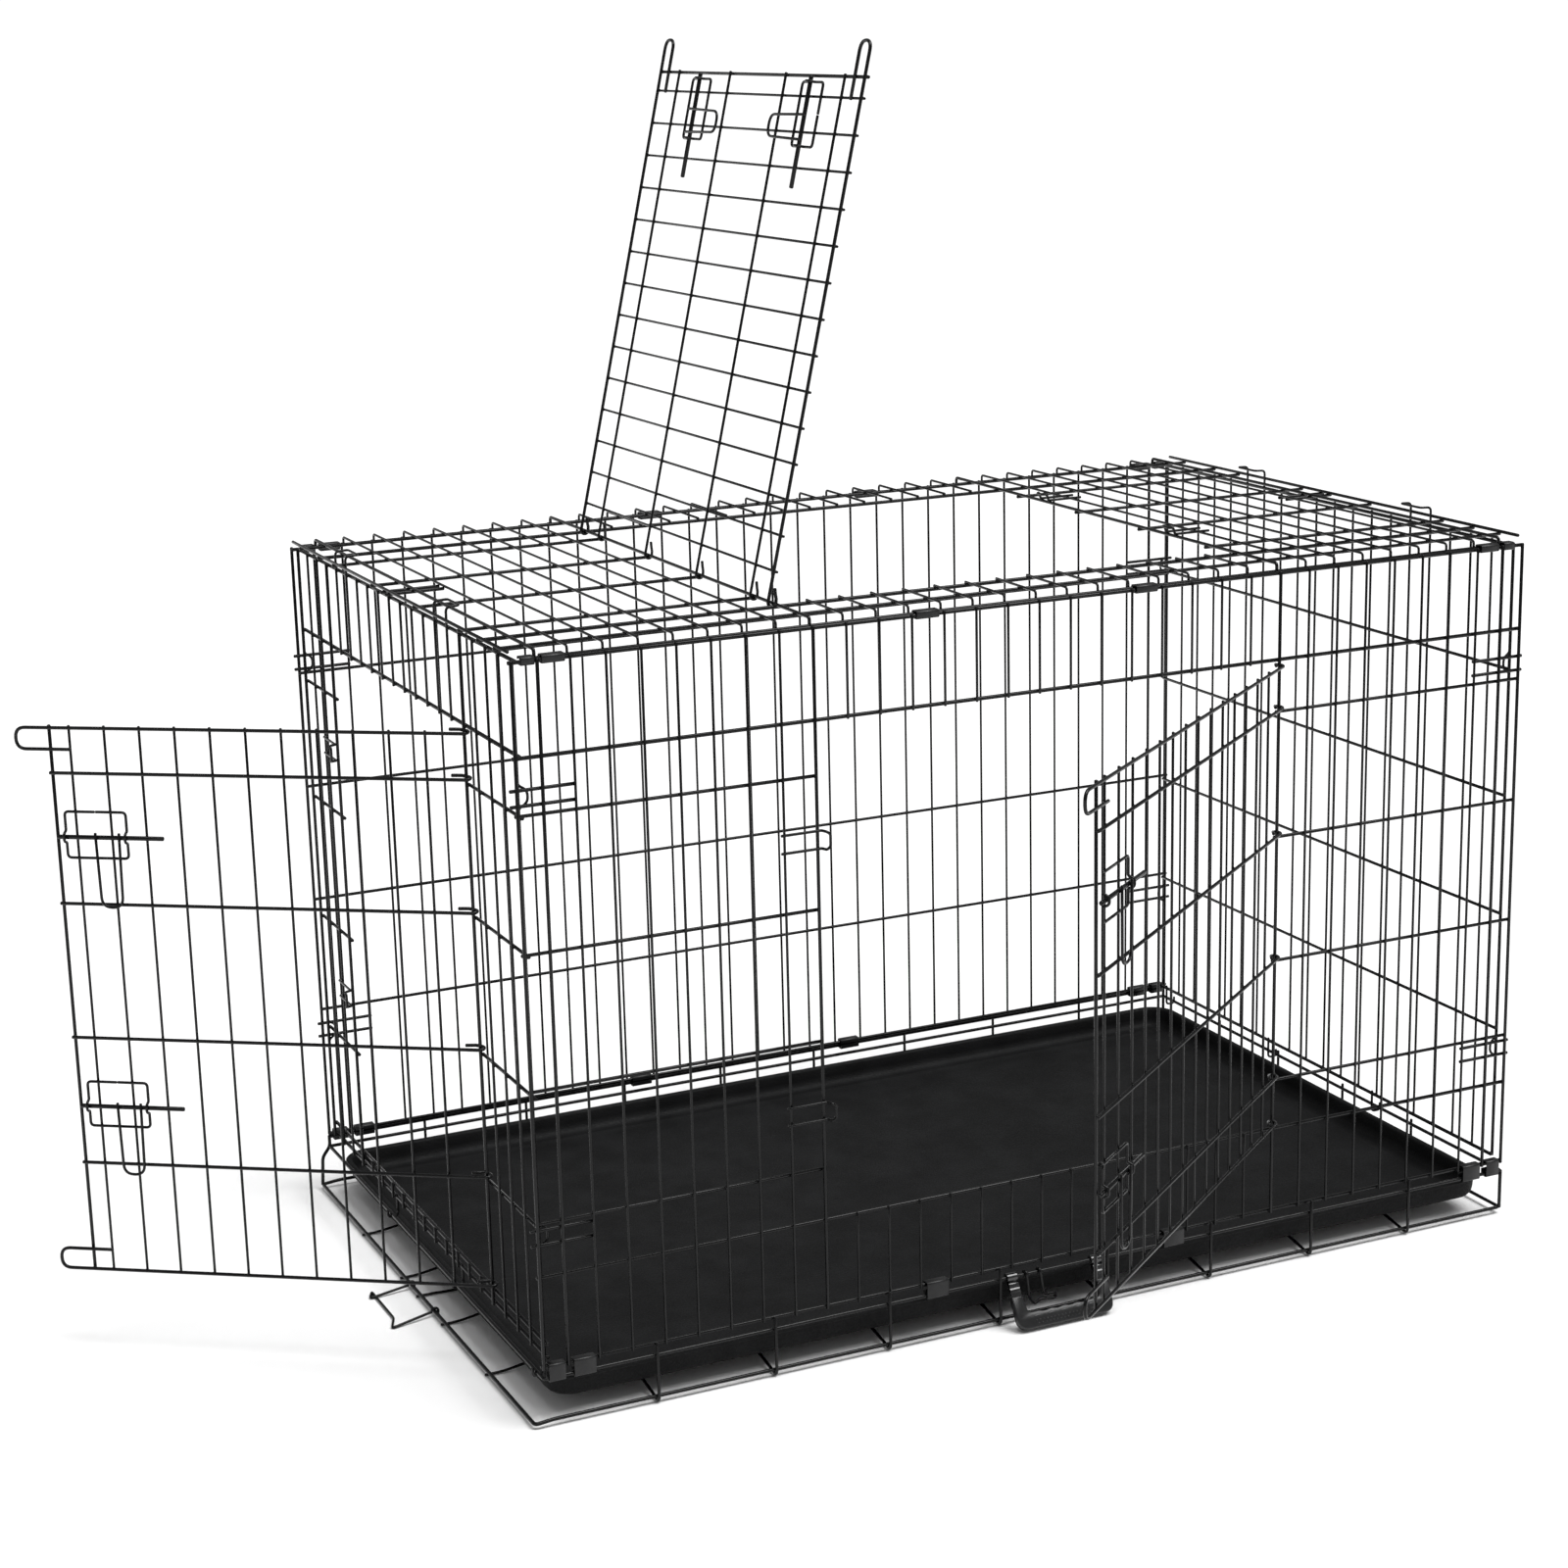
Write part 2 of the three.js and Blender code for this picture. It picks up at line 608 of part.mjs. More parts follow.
// ---- base ----
// The cross wires come down the sides to the floor, rise to the bed that the tray lies on and go
// down again. The long wires under them sink to the lower end wires.
function baseFrame() {
  const pieces = [];
  const runnerZ = BED_Z - CROSS - RUNNER + WELD;
  const end = RIM_END + 5;
  const lowEnd = -LOW_END.x - 5;
  const lowStub = LOW_END.z - FLOOR_RIM - RUNNER + WELD;
  for (const y of RUNNERS_Y) {
    pieces.push(wire([
      [lowEnd, y, lowStub],
      [-RIM_END + 6, y, lowStub],
      [-RUNNER_IN, y, runnerZ],
      [RUNNER_IN, y, runnerZ],
      [RIM_END - 6, y, STUB_Z],
      [end, y, STUB_Z],
    ], RUNNER, 4, 1));
  }
  // the centre wire lies on the floor, and only its ends rise
  pieces.push(bar('x', -RIM_END + 16, RIM_END - 16, [0, 0, RUNNER], RUNNER, true));
  for (const [s, out, z] of [[-1, lowEnd, lowStub], [1, end, STUB_Z]]) {
    pieces.push(wire([
      [s * (RIM_END - 18), 0, RUNNER],
      [s * (RIM_END - 6), 0, z],
      [out, 0, z],
    ], RUNNER, 3, 1));
  }
  for (let i = 0; i < CROSS_COUNT; i += 1) {
    const x = CROSS_FIRST + CROSS_PITCH * i;
    pieces.push(wire([
      [x, -CROSS_OUT, CROSS_TOP],
      [x, -CROSS_OUT, CROSS],
      [x, -RAMP_IN, BED_Z],
      [x, RAMP_IN, BED_Z],
      [x, CROSS_OUT, CROSS],
      [x, CROSS_OUT, CROSS_TOP],
    ], CROSS, 2, 1));
  }
  const reach = RIM_END + 1;
  for (const y of [-RIM_Y, RIM_Y]) {
    pieces.push(bar('x', -reach, reach, [0, y, RIM_Z], FLOOR_RIM));
    pieces.push(wire([
      [reach, y, FLOOR_RIM_Z],
      [-LOW_END.start, y, FLOOR_RIM_Z],
      [-LOW_END.x - 1, y, LOW_END.z],
    ], FLOOR_RIM, 6, 1));
    pieces.push(bar('z', FLOOR_RIM_Z - 1, RIM_Z + 1, [RIM_END, y, 0], FLOOR_RIM));
    pieces.push(wire([
      [-RIM_END, y, RIM_Z],
      [2 - LOW_END.x, y, RIM_Z - 13],
      [-LOW_END.x, y, LOW_END.z],
    ], FLOOR_RIM, 4, 1));
  }
  for (const [x, z] of [[RIM_END, FLOOR_RIM_Z], [RIM_END, RIM_Z], [-RIM_END, RIM_Z]]) {
    pieces.push(bar('y', -RIM_Y - 1, RIM_Y + 1, [x, 0, z], FLOOR_RIM));
  }
  pieces.push(bar('y', -RIM_Y - 1, RIM_Y + 1, [-LOW_END.x, 0, LOW_END.z], FLOOR_RIM));
  pieces.push(bar('x', -reach, reach, [0, RIM_Y, BACK_RIM_Z], FLOOR_RIM));
  for (const x of [-RIM_END, RIM_END]) {
    pieces.push(bar('z', RIM_Z - 1, BACK_RIM_Z + 1, [x, RIM_Y, 0], FLOOR_RIM));
  }
  const stubX = RIM_END + FLOOR_RIM + CROSS - WELD;
  for (const y of STUBS_Y) {
    pieces.push(bar('z', FLOOR_RIM_Z - 1, RIM_Z + 2, [stubX, y, 0], CROSS));
  }
  return pieces;
}

add('base_frame', join(baseFrame()), steel, crate);

function roundedRect(halfX, halfY, radius) {
  const shape = new THREE.Shape();
  shape.moveTo(-halfX + radius, -halfY);
  shape.lineTo(halfX - radius, -halfY);
  shape.absarc(halfX - radius, -halfY + radius, radius, -Math.PI / 2, 0);
  shape.lineTo(halfX, halfY - radius);
  shape.absarc(halfX - radius, halfY - radius, radius, 0, Math.PI / 2);
  shape.lineTo(-halfX + radius, halfY);
  shape.absarc(-halfX + radius, halfY - radius, radius, Math.PI / 2, Math.PI);
  shape.lineTo(-halfX, -halfY + radius);
  shape.absarc(-halfX + radius, -halfY + radius, radius, Math.PI, Math.PI * 1.5);
  return shape;
}

// A flat-bottomed block with curled lower edges: a bevelled extrusion from bottom up to top.
function dish(inset, bottom, top) {
  const { halfLength, halfWidth, corner, curl } = TRAY;
  const grown = inset + curl;
  const shape = roundedRect(halfLength - grown, halfWidth - grown, corner - grown);
  const geometry = new THREE.ExtrudeGeometry(shape, {
    depth: top - bottom - curl,
    bevelEnabled: true,
    bevelThickness: curl,
    bevelSize: curl,
    bevelSegments: 2,
    curveSegments: 4,
  });
  return geometry.translate(0, 0, bottom + curl);
}

function plate(inset, bottom, top) {
  const { halfLength, halfWidth, corner } = TRAY;
  const shape = roundedRect(halfLength - inset, halfWidth - inset, corner - inset);
  const geometry = new THREE.ExtrudeGeometry(shape, {
    depth: top - bottom,
    bevelEnabled: false,
    curveSegments: 4,
  });
  return geometry.translate(0, 0, bottom);
}

function traySolid() {
  const { bottom, top, wall, rim, curl } = TRAY;
  const above = new THREE.BoxGeometry(LENGTH * 2, LENGTH * 2, 40);
  above.translate(0, 0, top + 20);
  const body = join([cut(dish(0, bottom, top + curl), above), plate(-rim, top - wall, top)]);
  return cut(body, dish(wall, bottom + wall, top + curl * 2));
}

add('tray', traySolid(), plastic, crate);

// ---- tray stop: a bent wire hooked on the lower end wire, lying flat outside ----
const STOP = { near: 27, far: -56, reach: 51, droop: 4, start: 4 };

function trayStop() {
  const { z } = LOW_END;
  const low = z - STOP.droop;
  const start = -LOW_END.x - STOP.start;
  const end = -LOW_END.x - STOP.reach;
  const hooks = [STOP.near, STOP.far].map((y) => (
    eye(FLOOR_RIM, EYE.wall, EYE.height).translate(-LOW_END.x, y, z)
  ));
  const loop = wire([
    [start, STOP.near, z],
    [end, STOP.near - 6, low],
    [end + 7, STOP.near + 11, low],
    [end + 7, STOP.far + 13, low],
    [end - 3, STOP.far - 12, low],
    [start, STOP.far, z],
  ], FINE, 4, 1);
  return [...hooks, loop];
}

add('tray_stop', join(trayStop()), steel, crate);

// ---- carry handle: a plastic grip on two clips that turn on the base's upper front wire ----
const HANDLE = { x: -4.8, half: 60, arm: 14, drop: 64, bar: 18, thick: 9, lean: 31, clip: 22 };

function handleGroup() {
  const group = new THREE.Group();
  group.position.set(HANDLE.x, -RIM_Y, RIM_Z);
  group.rotation.x = THREE.MathUtils.degToRad(-HANDLE.lean);
  crate.add(group);

  // drawn upright below the wire: x across, z down, y is its thickness
  const top = -HANDLE.clip - GAP;
  const bottom = -HANDLE.drop + HANDLE.thick / 2;
  const { half, arm } = HANDLE;
  const outline = new THREE.Shape();
  outline.moveTo(-half, top);
  outline.lineTo(-half, bottom + 12);
  outline.quadraticCurveTo(-half, bottom, -half + 14, bottom);
  outline.lineTo(half - 14, bottom);
  outline.quadraticCurveTo(half, bottom, half, bottom + 12);
  outline.lineTo(half, top);
  outline.lineTo(half - arm, top);
  outline.lineTo(half - arm - 3, bottom + HANDLE.bar);
  outline.lineTo(-half + arm + 3, bottom + HANDLE.bar);
  outline.lineTo(-half + arm, top);
  outline.closePath();
  const body = new THREE.ExtrudeGeometry(outline, {
    depth: HANDLE.thick - 4,
    bevelEnabled: true,
    bevelThickness: 2,
    bevelSize: 1.5,
    bevelOffset: -1.5,
    bevelSegments: 1,
    curveSegments: 4,
  });
  body.rotateX(Math.PI / 2);
  body.translate(0, HANDLE.thick / 2 - 2, 0);
  add('carry_handle_grip', body, grip, group);

  for (const [side, s] of [['left', -1], ['right', 1]]) {
    const x = s * (half - arm / 2);
    const strap = new THREE.BoxGeometry(arm - 2, 5, HANDLE.clip - 5);
    strap.translate(x, 0, -5 - (HANDLE.clip - 5) / 2);
    const sleeve = eye(FLOOR_RIM, 3, arm - 2, 'x').translate(x, 0, 0);
    add(`carry_handle_clip_${side}`, join([strap, sleeve]), grip, group);
  }
}

handleGroup();

// ---- fold-lock hook: hangs on the same wire, between the handle's arms ----
function foldHook() {
  const x = -40;
  const low = RIM_Z - 31;
  const collar = eye(FLOOR_RIM, EYE.wall, EYE.height, 'x').translate(x, -RIM_Y, RIM_Z);
  const second = eye(FLOOR_RIM, EYE.wall, EYE.height, 'x').translate(x + 17, -RIM_Y, RIM_Z);
  const y = -RIM_Y - 3.8;
  const loop = wire([
    [x, y, RIM_Z],
    [x + 3, y, low + 4],
    [x + 9, y, low - 5],
    [x + 17, y, low],
    [x + 36, y, low - 3],
    [x + 36, y, low + 3.6],
    [x + 21, y, low + 5],
    [x + 17, y, RIM_Z],
  ], FINE, 3, 1);
  return [collar, second, loop];
}

add('fold_lock_hook', join(foldHook()), steel, crate);

// ---- clips: bent strips that hold two long wires together ----
function clip(width, low, high, out, inside) {
  const wall = 1.2;
  const room = RAIL + GAP + 0.05;
  const [y0, y1] = [-room - out, room + inside];
  const [z0, z1] = [low - room, high + room];
  const slit = (z0 + z1) / 2; // the strip's two ends meet here, on the inner side
  const outline = new THREE.Shape();
  const corners = [
    [y1, slit - 2], [y1, z0], [y0, z0], [y0, z1], [y1, z1], [y1, slit + 2],
    [y1 + wall, slit + 2], [y1 + wall, z1 + wall], [y0 - wall, z1 + wall],
    [y0 - wall, z0 - wall], [y1 + wall, z0 - wall], [y1 + wall, slit - 2],
  ];
  corners.forEach(([y, z], i) => (i ? outline.lineTo(y, z) : outline.moveTo(y, z)));
  outline.closePath();
  const geometry = new THREE.ExtrudeGeometry(outline, { depth: width, bevelEnabled: false });
  geometry.translate(0, 0, -width / 2);
  geometry.rotateX(Math.PI / 2);
  return geometry.rotateZ(Math.PI / 2);
}

const TOP_CORNER = { x: 584.4, width: 14 }; // clear of the end panels
const BASE_CORNER = { x: 588.5, width: 18 };

function clipPlaces({ x, width }, cells) {
  return [
    { x: -x, width },
    { x: -558, width: 24 },
    ...cells.map((cell) => ({ x: sideCell(cell), width: 26 })),
    { x: 558, width: 24 },
    { x, width },
  ];
}

// low and high are the two wires' heights, out is how much farther out than the panel's own
// wire the other one is, and inside how much farther in
function clipRow(name, heading, corner, cells, [low, high], [out, inside]) {
  const row = new THREE.Group();
  row.rotation.z = heading;
  crate.add(row);
  clipPlaces(corner, cells).forEach(({ x, width }, i) => {
    const mesh = add(`${name}_clip_${i + 1}`, clip(width, low, high, out, inside), steel, row);
    mesh.position.set(x, -sideWire, 0);
  });
}

const sideWire = PANEL_OUT - LAYER;
const edgeZ = ROOF_Z - ROOF_DROP;
const topWires = [[SIDE_TOP, edgeZ], [0, sideWire - ROOF_EDGE]];
const frontWires = [[RIM_Z, SIDE_BOTTOM], [RIM_Y - sideWire, 0]];
const backWires = [[BACK_RIM_Z, BACK_BOTTOM], [RIM_Y - sideWire, 0]];
clipRow('top_front', 0, TOP_CORNER, [10.5, 17.5], ...topWires);
clipRow('top_back', Math.PI, TOP_CORNER, [10.5, 18.5], ...topWires);
clipRow('base_front', 0, BASE_CORNER, [10.5, 18.5], ...frontWires);
clipRow('base_back', Math.PI, BASE_CORNER, [11.5, 19.5], ...backWires);

export default crate;
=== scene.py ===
"""Folding wire dog crate: round coated wires, clips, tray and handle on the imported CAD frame."""
import json
import math

import bmesh
import bpy
from mathutils import Matrix, Vector


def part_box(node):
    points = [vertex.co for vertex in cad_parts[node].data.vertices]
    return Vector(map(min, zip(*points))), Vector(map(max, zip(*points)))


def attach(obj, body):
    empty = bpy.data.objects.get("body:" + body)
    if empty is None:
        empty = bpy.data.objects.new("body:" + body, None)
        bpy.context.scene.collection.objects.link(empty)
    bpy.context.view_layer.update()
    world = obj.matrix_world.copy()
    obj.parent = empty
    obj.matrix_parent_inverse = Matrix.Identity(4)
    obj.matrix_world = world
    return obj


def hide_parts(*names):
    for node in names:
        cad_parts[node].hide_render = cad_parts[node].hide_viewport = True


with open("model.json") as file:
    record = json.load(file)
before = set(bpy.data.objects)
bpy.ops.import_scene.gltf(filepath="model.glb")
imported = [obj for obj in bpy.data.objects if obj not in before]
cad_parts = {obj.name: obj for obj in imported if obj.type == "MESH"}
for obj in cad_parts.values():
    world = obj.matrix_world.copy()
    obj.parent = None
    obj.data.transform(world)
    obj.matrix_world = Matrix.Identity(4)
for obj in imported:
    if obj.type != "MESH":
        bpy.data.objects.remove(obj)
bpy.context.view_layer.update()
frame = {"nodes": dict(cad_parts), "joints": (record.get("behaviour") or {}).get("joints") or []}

# ---- driving dimensions, in millimetres ----
MM = 0.001
THIN = 1.45  # radius of an upright
MID = 1.9  # long wires inside a panel, and stout uprights
RAIL = 2.15  # edge wires of a panel
FINE = 1.55  # latches, catches and hooks
CROSS = 1.75  # wires across the base
LAYER = 3.2  # between the two layers of a panel
PAST = 1.8  # a wire's end beyond the last wire it is welded to
SIDES = 12  # facets round a wire

SIDE_PITCH = 37.3
SIDE_CELLS = 29
SIDE_ENDS = (575, 602)  # the pair of stout uprights at each end
END_PITCH = 38.3
END_CELLS = 19
SIDE_BOTTOM, SIDE_TOP = 66, 801.4
BACK_BOTTOM = 72
END_BOTTOM, END_TOP = 73, 801
FRONT_MIDS = (222, 363, 506, 648)
BACK_MIDS = (233, 373, 514, 653)
LEFT_MIDS = (211, 353, 502, 644)
RIGHT_MIDS = (230, 370, 511, 659)
ROOF_MIDS = (-72, 72, -214, 214)  # from the middle of the top doorway
ROOF_EXTRA = 331
ROOF_EDGE = 365.9  # the roof's edge wires lie beside the side panels' top wires
ROOF_DROP = 9  # and this far below the cross wires
ROOF_EDGE_END = 589
SIDE_LOOPS = (207, 666)
CORNER_BAR = 8
DOOR_OUT = 4.2
DOOR_FIRST_CELL = 21.5
DOOR_INSET = 7
DOOR_LOOP = {"reach": 36, "back": 23, "bend": 11}  # an outer wire's turn beyond the free edge

# For each door: its free edge to the doorway's ("gap"), how far its hooks sit above the panel's
# long wires ("above"), how far its guides and bolts lie behind the free edge, the radius of its
# long wires, its cells, and for each latch the place and the way that the pull hangs.
DOORS = {
    "front_door": {
        "gap": 14, "above": 4.6, "guide": 10, "bolt": -1, "long": MID,
        "cells": 15, "pitch": SIDE_PITCH, "latches": ((288, -1), (582, -1)),
    },
    "left_door": {
        "gap": 14, "above": 6.5, "guide": 10.5, "bolt": 1.5, "long": MID,
        "cells": 12, "pitch": END_PITCH, "latches": ((283, -1), (582, -1)),
    },
    "top_door": {
        "gap": 21, "above": 4.6, "guide": 7, "bolt": 1, "long": 1.55,
        "cells": 15, "pitch": SIDE_PITCH, "latches": ((-132, 1), (156, -1)),
    },
}
GUIDE = {"length": 67, "above": 27, "below": 23}
PULL = {"first": 6.5, "width": 26, "drop": 75, "narrow": 1.5, "above": 5.5, "bend": 12.5}
BOLT_OUT = 6.3
BOLT = 2.45
BOLT_ENDS = (1, 116)  # from the bolt's place
BAR_END = 6  # a corner bar's end beyond the last upright

ROOF_HOOK_CELLS = (4, 13)  # where an end panel's upper hooks begin
BASE_HOOK_X = (-129, 101, 352)  # and its lower ones
ROOF_BARS = (-18, -2)  # short wires at the roof's ends
ROOF_BAR_END = 4

RUNNER = 1.5
RIM = 2.1
RIM_END = 602.5  # the base's end wires, but for the left lower one, which the frame gives
RUNNER_Y = (-230.75, -86.25, 58.25, 202.75)
RUNNER_IN = 520  # where the long floor wires have risen to the tray
CROSS_FIRST, CROSS_PITCH, CROSS_COUNT = -478, 135.2, 8
BED_Z = 17.4  # the cross wires under the tray
RAMP_IN = 287  # where they have risen to it
LOWER_Z = 7.8  # the base's lower wires
BACK_RIM_Z = 66.5  # a further long wire at the back
LOW_START = 594  # where the lower long wires start to sink towards the left end
POST_DROP = 13  # how far below the upper wires a left corner upright starts to lean out
STUB_Y = (-195, -50, 95, 235)  # short uprights at the right end

STOP = {"near": 27, "far": -56, "reach": 51, "droop": 4}
FOLD_HOOK = {"x": -40, "apart": 17, "drop": 31}
HANDLE_LEAN = math.radians(31)
HANDLE_HALF = 60  # half its width
HANDLE_ARM = 14
HANDLE_DROP = 64
HANDLE_BAR = 18
HANDLE_THICK = 9
HANDLE_CLIP = 22
CLEARANCE = 0.35  # between a moving wire and the one it goes round


# ---- places from the frame ----
def joint(name):
    """The record's entry for a joint."""
    return next(j for j in frame["joints"] if j["name"] == name)


def millimetres(point):
    return Vector(point) / MM


FRONT_HINGE = millimetres(joint("front_door_hinge")["pos_m"])
LEFT_HINGE = millimetres(joint("left_door_hinge")["pos_m"])
TOP_HINGE = millimetres(joint("top_door_hinge")["pos_m"])
RIM_WIRE = millimetres(joint("carry_handle_hinge")["pos_m"])
FLOOR_RIM = millimetres(joint("tray_stop_hinge")["pos_m"])
PANEL_OUT = -FRONT_HINGE.y
END_OUT = -LEFT_HINGE.x
ROOF_Z = TOP_HINGE.z
RIM_Y = -RIM_WIRE.y
RIM_Z = RIM_WIRE.z


def swing(name):
    """How far a door stands open at rest, in radians: its joint's lower limit shuts it."""
    return -math.radians(joint(name)["range_deg"][0])


def box_mm(node):
    low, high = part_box(node)
    return millimetres(low), millimetres(high)


# Panel frames: x along the panel, y up and z outwards, in millimetres at rest.
TO_METRES = Matrix.Scale(MM, 4)
UPRIGHT = Matrix.Rotation(math.pi / 2, 4, "X")


def panel_frame(heading, out):
    turned = Matrix.Rotation(heading, 4, "Z")
    return TO_METRES @ turned @ Matrix.Translation((0, -out, 0)) @ UPRIGHT


WORLD = TO_METRES
FRONT = panel_frame(0, PANEL_OUT)
BACK = panel_frame(math.pi, PANEL_OUT)
LEFT = panel_frame(-math.pi / 2, END_OUT)
RIGHT = panel_frame(math.pi / 2, END_OUT)
ROOF = TO_METRES @ Matrix.Translation((0, 0, ROOF_Z)) @ Matrix.Rotation(math.pi, 4, "Z")


def side_cell(k):
    return SIDE_PITCH * (k - SIDE_CELLS / 2)


def end_cell(k):
    return END_PITCH * (k - END_CELLS / 2)


SIDE_STOUT = [s * x for x in SIDE_ENDS for s in (-1, 1)]
SIDE_X = sorted([side_cell(k) for k in range(SIDE_CELLS + 1)] + SIDE_STOUT)
END_X = [end_cell(k) for k in range(END_CELLS + 1)]


# ---- meshes of wire ----
def rounded(corners, bend, steps=6):
    """The points of a wire whose inner corners are bent over the length bend."""
    points = [Vector(c) for c in corners]
    path = [points[0]]
    for before, corner, after in zip(points, points[1:], points[2:]):
        back, ahead = before - corner, after - corner
        reach = min(bend, back.length * 0.48, ahead.length * 0.48)
        start = corner + back.normalized() * reach
        end = corner + ahead.normalized() * reach
        for i in range(steps + 1):
            t = i / steps
            path.append(start * (1 - t) ** 2 + corner * 2 * t * (1 - t) + end * t * t)
    return path + [points[-1]]


class Wires:
    """Round wires gathered into one mesh. Points are in the frame's millimetres."""

    def __init__(self, place):
        self.place = place
        self.verts = []
        self.faces = []

    def ring(self, centre, side, up, radius, sides=SIDES):
        first = len(self.verts)
        for k in range(sides):
            a = math.tau * k / sides
            point = centre + (side * math.cos(a) + up * math.sin(a)) * radius
            self.verts.append(self.place @ point)
        return first

    def skin(self, rings, closed=False, sides=SIDES):
        pairs = list(zip(rings, rings[1:]))
        if closed:
            pairs.append((rings[-1], rings[0]))
        for a, b in pairs:
            for k in range(sides):
                n = (k + 1) % sides
                self.faces.append((a + k, a + n, b + n, b + k))
        if not closed:
            self.faces.append(tuple(rings[0] + k for k in reversed(range(sides))))
            self.faces.append(tuple(rings[-1] + k for k in range(sides)))

    def run(self, path, radius, closed=False):
        """A wire along a path, with softly rounded ends unless it closes on itself."""
        points = [Vector(p) for p in path]
        count = len(points)
        tangents = []
        for i in range(count):
            before = points[i - 1] if i or closed else points[0]
            after = points[(i + 1) % count] if i < count - 1 or closed else points[-1]
            tangents.append((after - before).normalized())
        side = tangents[0].orthogonal().normalized()
        rings = []
        sections = []
        for point, tangent in zip(points, tangents):
            side = (side - tangent * side.dot(tangent)).normalized()
            sections.append((point, side.copy(), tangent.cross(side), tangent))
        if not closed:
            point, across, up, tangent = sections[0]
            for out, narrow in ((0.45, 0.5), (0.28, 0.84)):
                rings.append(self.ring(point - tangent * radius * out, across, up, radius * narrow))
        for point, across, up, tangent in sections:
            rings.append(self.ring(point, across, up, radius))
        if not closed:
            for out, narrow in ((0.28, 0.84), (0.45, 0.5)):
                rings.append(self.ring(point + tangent * radius * out, across, up, radius * narrow))
        self.skin(rings, closed)

    def bend(self, corners, radius, bend=3):
        self.run(rounded(corners, bend), radius)

    def across(self, low, high, y, z, radius):
        self.run([(low, y, z), (high, y, z)], radius)

    def upright(self, x, low, high, radius, z=0):
        self.run([(x, low, z), (x, high, z)], radius)

    def weld(self, x, y, z, radius):
        """The small swelling where two wires are welded together, flattened along z."""
        centre = Vector((x, y, z))
        rings = []
        for level, spread in ((-1, 0.35), (-0.55, 0.9), (0, 1), (0.55, 0.9), (1, 0.35)):
            at = centre + Vector((0, 0, radius * 0.62 * level))
            rings.append(self.ring(at, Vector((1, 0, 0)), Vector((0, 1, 0)), radius * spread, 8))
        self.skin(rings, sides=8)

    def mesh(self, name):
        mesh = bpy.data.meshes.new(name)
        mesh.from_pydata(self.verts, [], self.faces)
        return mesh

    def piece(self, name, body, *nodes):
        """Makes the object, which rides on a body and stands for CAD nodes."""
        dress(self.mesh(name), name, body, COATED, nodes)


def dress(mesh, name, body, material, nodes):
    """Links a finished mesh as a piece of the object."""
    work = bmesh.new()
    work.from_mesh(mesh)
    bmesh.ops.recalc_face_normals(work, faces=work.faces)
    work.to_mesh(mesh)
    work.free()
    for polygon in mesh.polygons:
        polygon.use_smooth = True
    mesh.set_sharp_from_angle(angle=math.radians(50))
    piece = bpy.data.objects.new(name, mesh)
    bpy.context.scene.collection.objects.link(piece)
    piece.data.materials.append(material)
    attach(piece, body)
    if nodes:
        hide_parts(*nodes)


# ---- materials ----
def node_material(name, colours, grain, roughness, bump, specular, coat=0.0):
    """A dark finish: two noises mix the colours, vary the roughness and raise a fine grain."""
    material = bpy.data.materials.new(name)
    material.use_nodes = True
    tree = material.node_tree
    shader = tree.nodes["Principled BSDF"]
    place = tree.nodes.new("ShaderNodeTexCoord")

    def noise(scale, detail):
        node = tree.nodes.new("ShaderNodeTexNoise")
        node.inputs["Scale"].default_value = scale
        node.inputs["Detail"].default_value = detail
        tree.links.new(place.outputs["Object"], node.inputs["Vector"])
        return node.outputs["Fac"]

    def spread(source, low, high):
        node = tree.nodes.new("ShaderNodeMapRange")
        node.inputs["From Min"].default_value = 0.3
        node.inputs["From Max"].default_value = 0.7
        node.inputs["To Min"].default_value = low
        node.inputs["To Max"].default_value = high
        tree.links.new(source, node.inputs["Value"])
        return node.outputs["Result"]

    broad = noise(grain["broad"], 3)
    fine = noise(grain["fine"], 2)
    ramp = tree.nodes.new("ShaderNodeValToRGB")
    for element, position, colour in zip(ramp.color_ramp.elements, (0.36, 0.68), colours):
        element.position = position
        element.color = (*colour, 1)
    tree.links.new(broad, ramp.inputs["Fac"])
    tree.links.new(ramp.outputs["Color"], shader.inputs["Base Color"])
    tree.links.new(spread(fine, *roughness), shader.inputs["Roughness"])
    relief = tree.nodes.new("ShaderNodeBump")
    relief.inputs["Strength"].default_value = bump["strength"]
    relief.inputs["Distance"].default_value = bump["depth"]
    tree.links.new(fine, relief.inputs["Height"])
    tree.links.new(relief.outputs["Normal"], shader.inputs["Normal"])
    shader.inputs["Specular IOR Level"].default_value = specular
    shader.inputs["Coat Weight"].default_value = coat
    shader.inputs["Coat Roughness"].default_value = 0.2
    return material


COATED = node_material(
    "black_coated_steel",
    colours=((0.0015, 0.0015, 0.0017), (0.004, 0.0041, 0.0044)),
    grain={"broad": 60, "fine": 900},
    roughness=(0.16, 0.28),
    bump={"strength": 0.2, "depth": 0.0002},
    specular=0.25,
)
TRAY = node_material(
    "black_grained_plastic",
    colours=((0.003, 0.0031, 0.0033), (0.007, 0.0072, 0.0076)),
    grain={"broad": 22, "fine": 520},
    roughness=(0.55, 0.75),
    bump={"strength": 0.8, "depth": 0.0009},
    specular=0.16,
)
HANDLE = node_material(
    "black_handle_plastic",
    colours=((0.005, 0.0052, 0.0055), (0.010, 0.0103, 0.011)),
    grain={"broad": 70, "fine": 700},
    roughness=(0.3, 0.44),
    bump={"strength": 0.3, "depth": 0.0002},
    specular=0.45,
    coat=0.2,
)
GLOSSY = node_material(
    "black_glossy_plastic",
    colours=((0.004, 0.004, 0.0045), (0.008, 0.0082, 0.009)),
    grain={"broad": 60, "fine": 500},
    roughness=(0.12, 0.22),
    bump={"strength": 0.15, "depth": 0.0002},
    specular=0.6,
    coat=0.6,
)
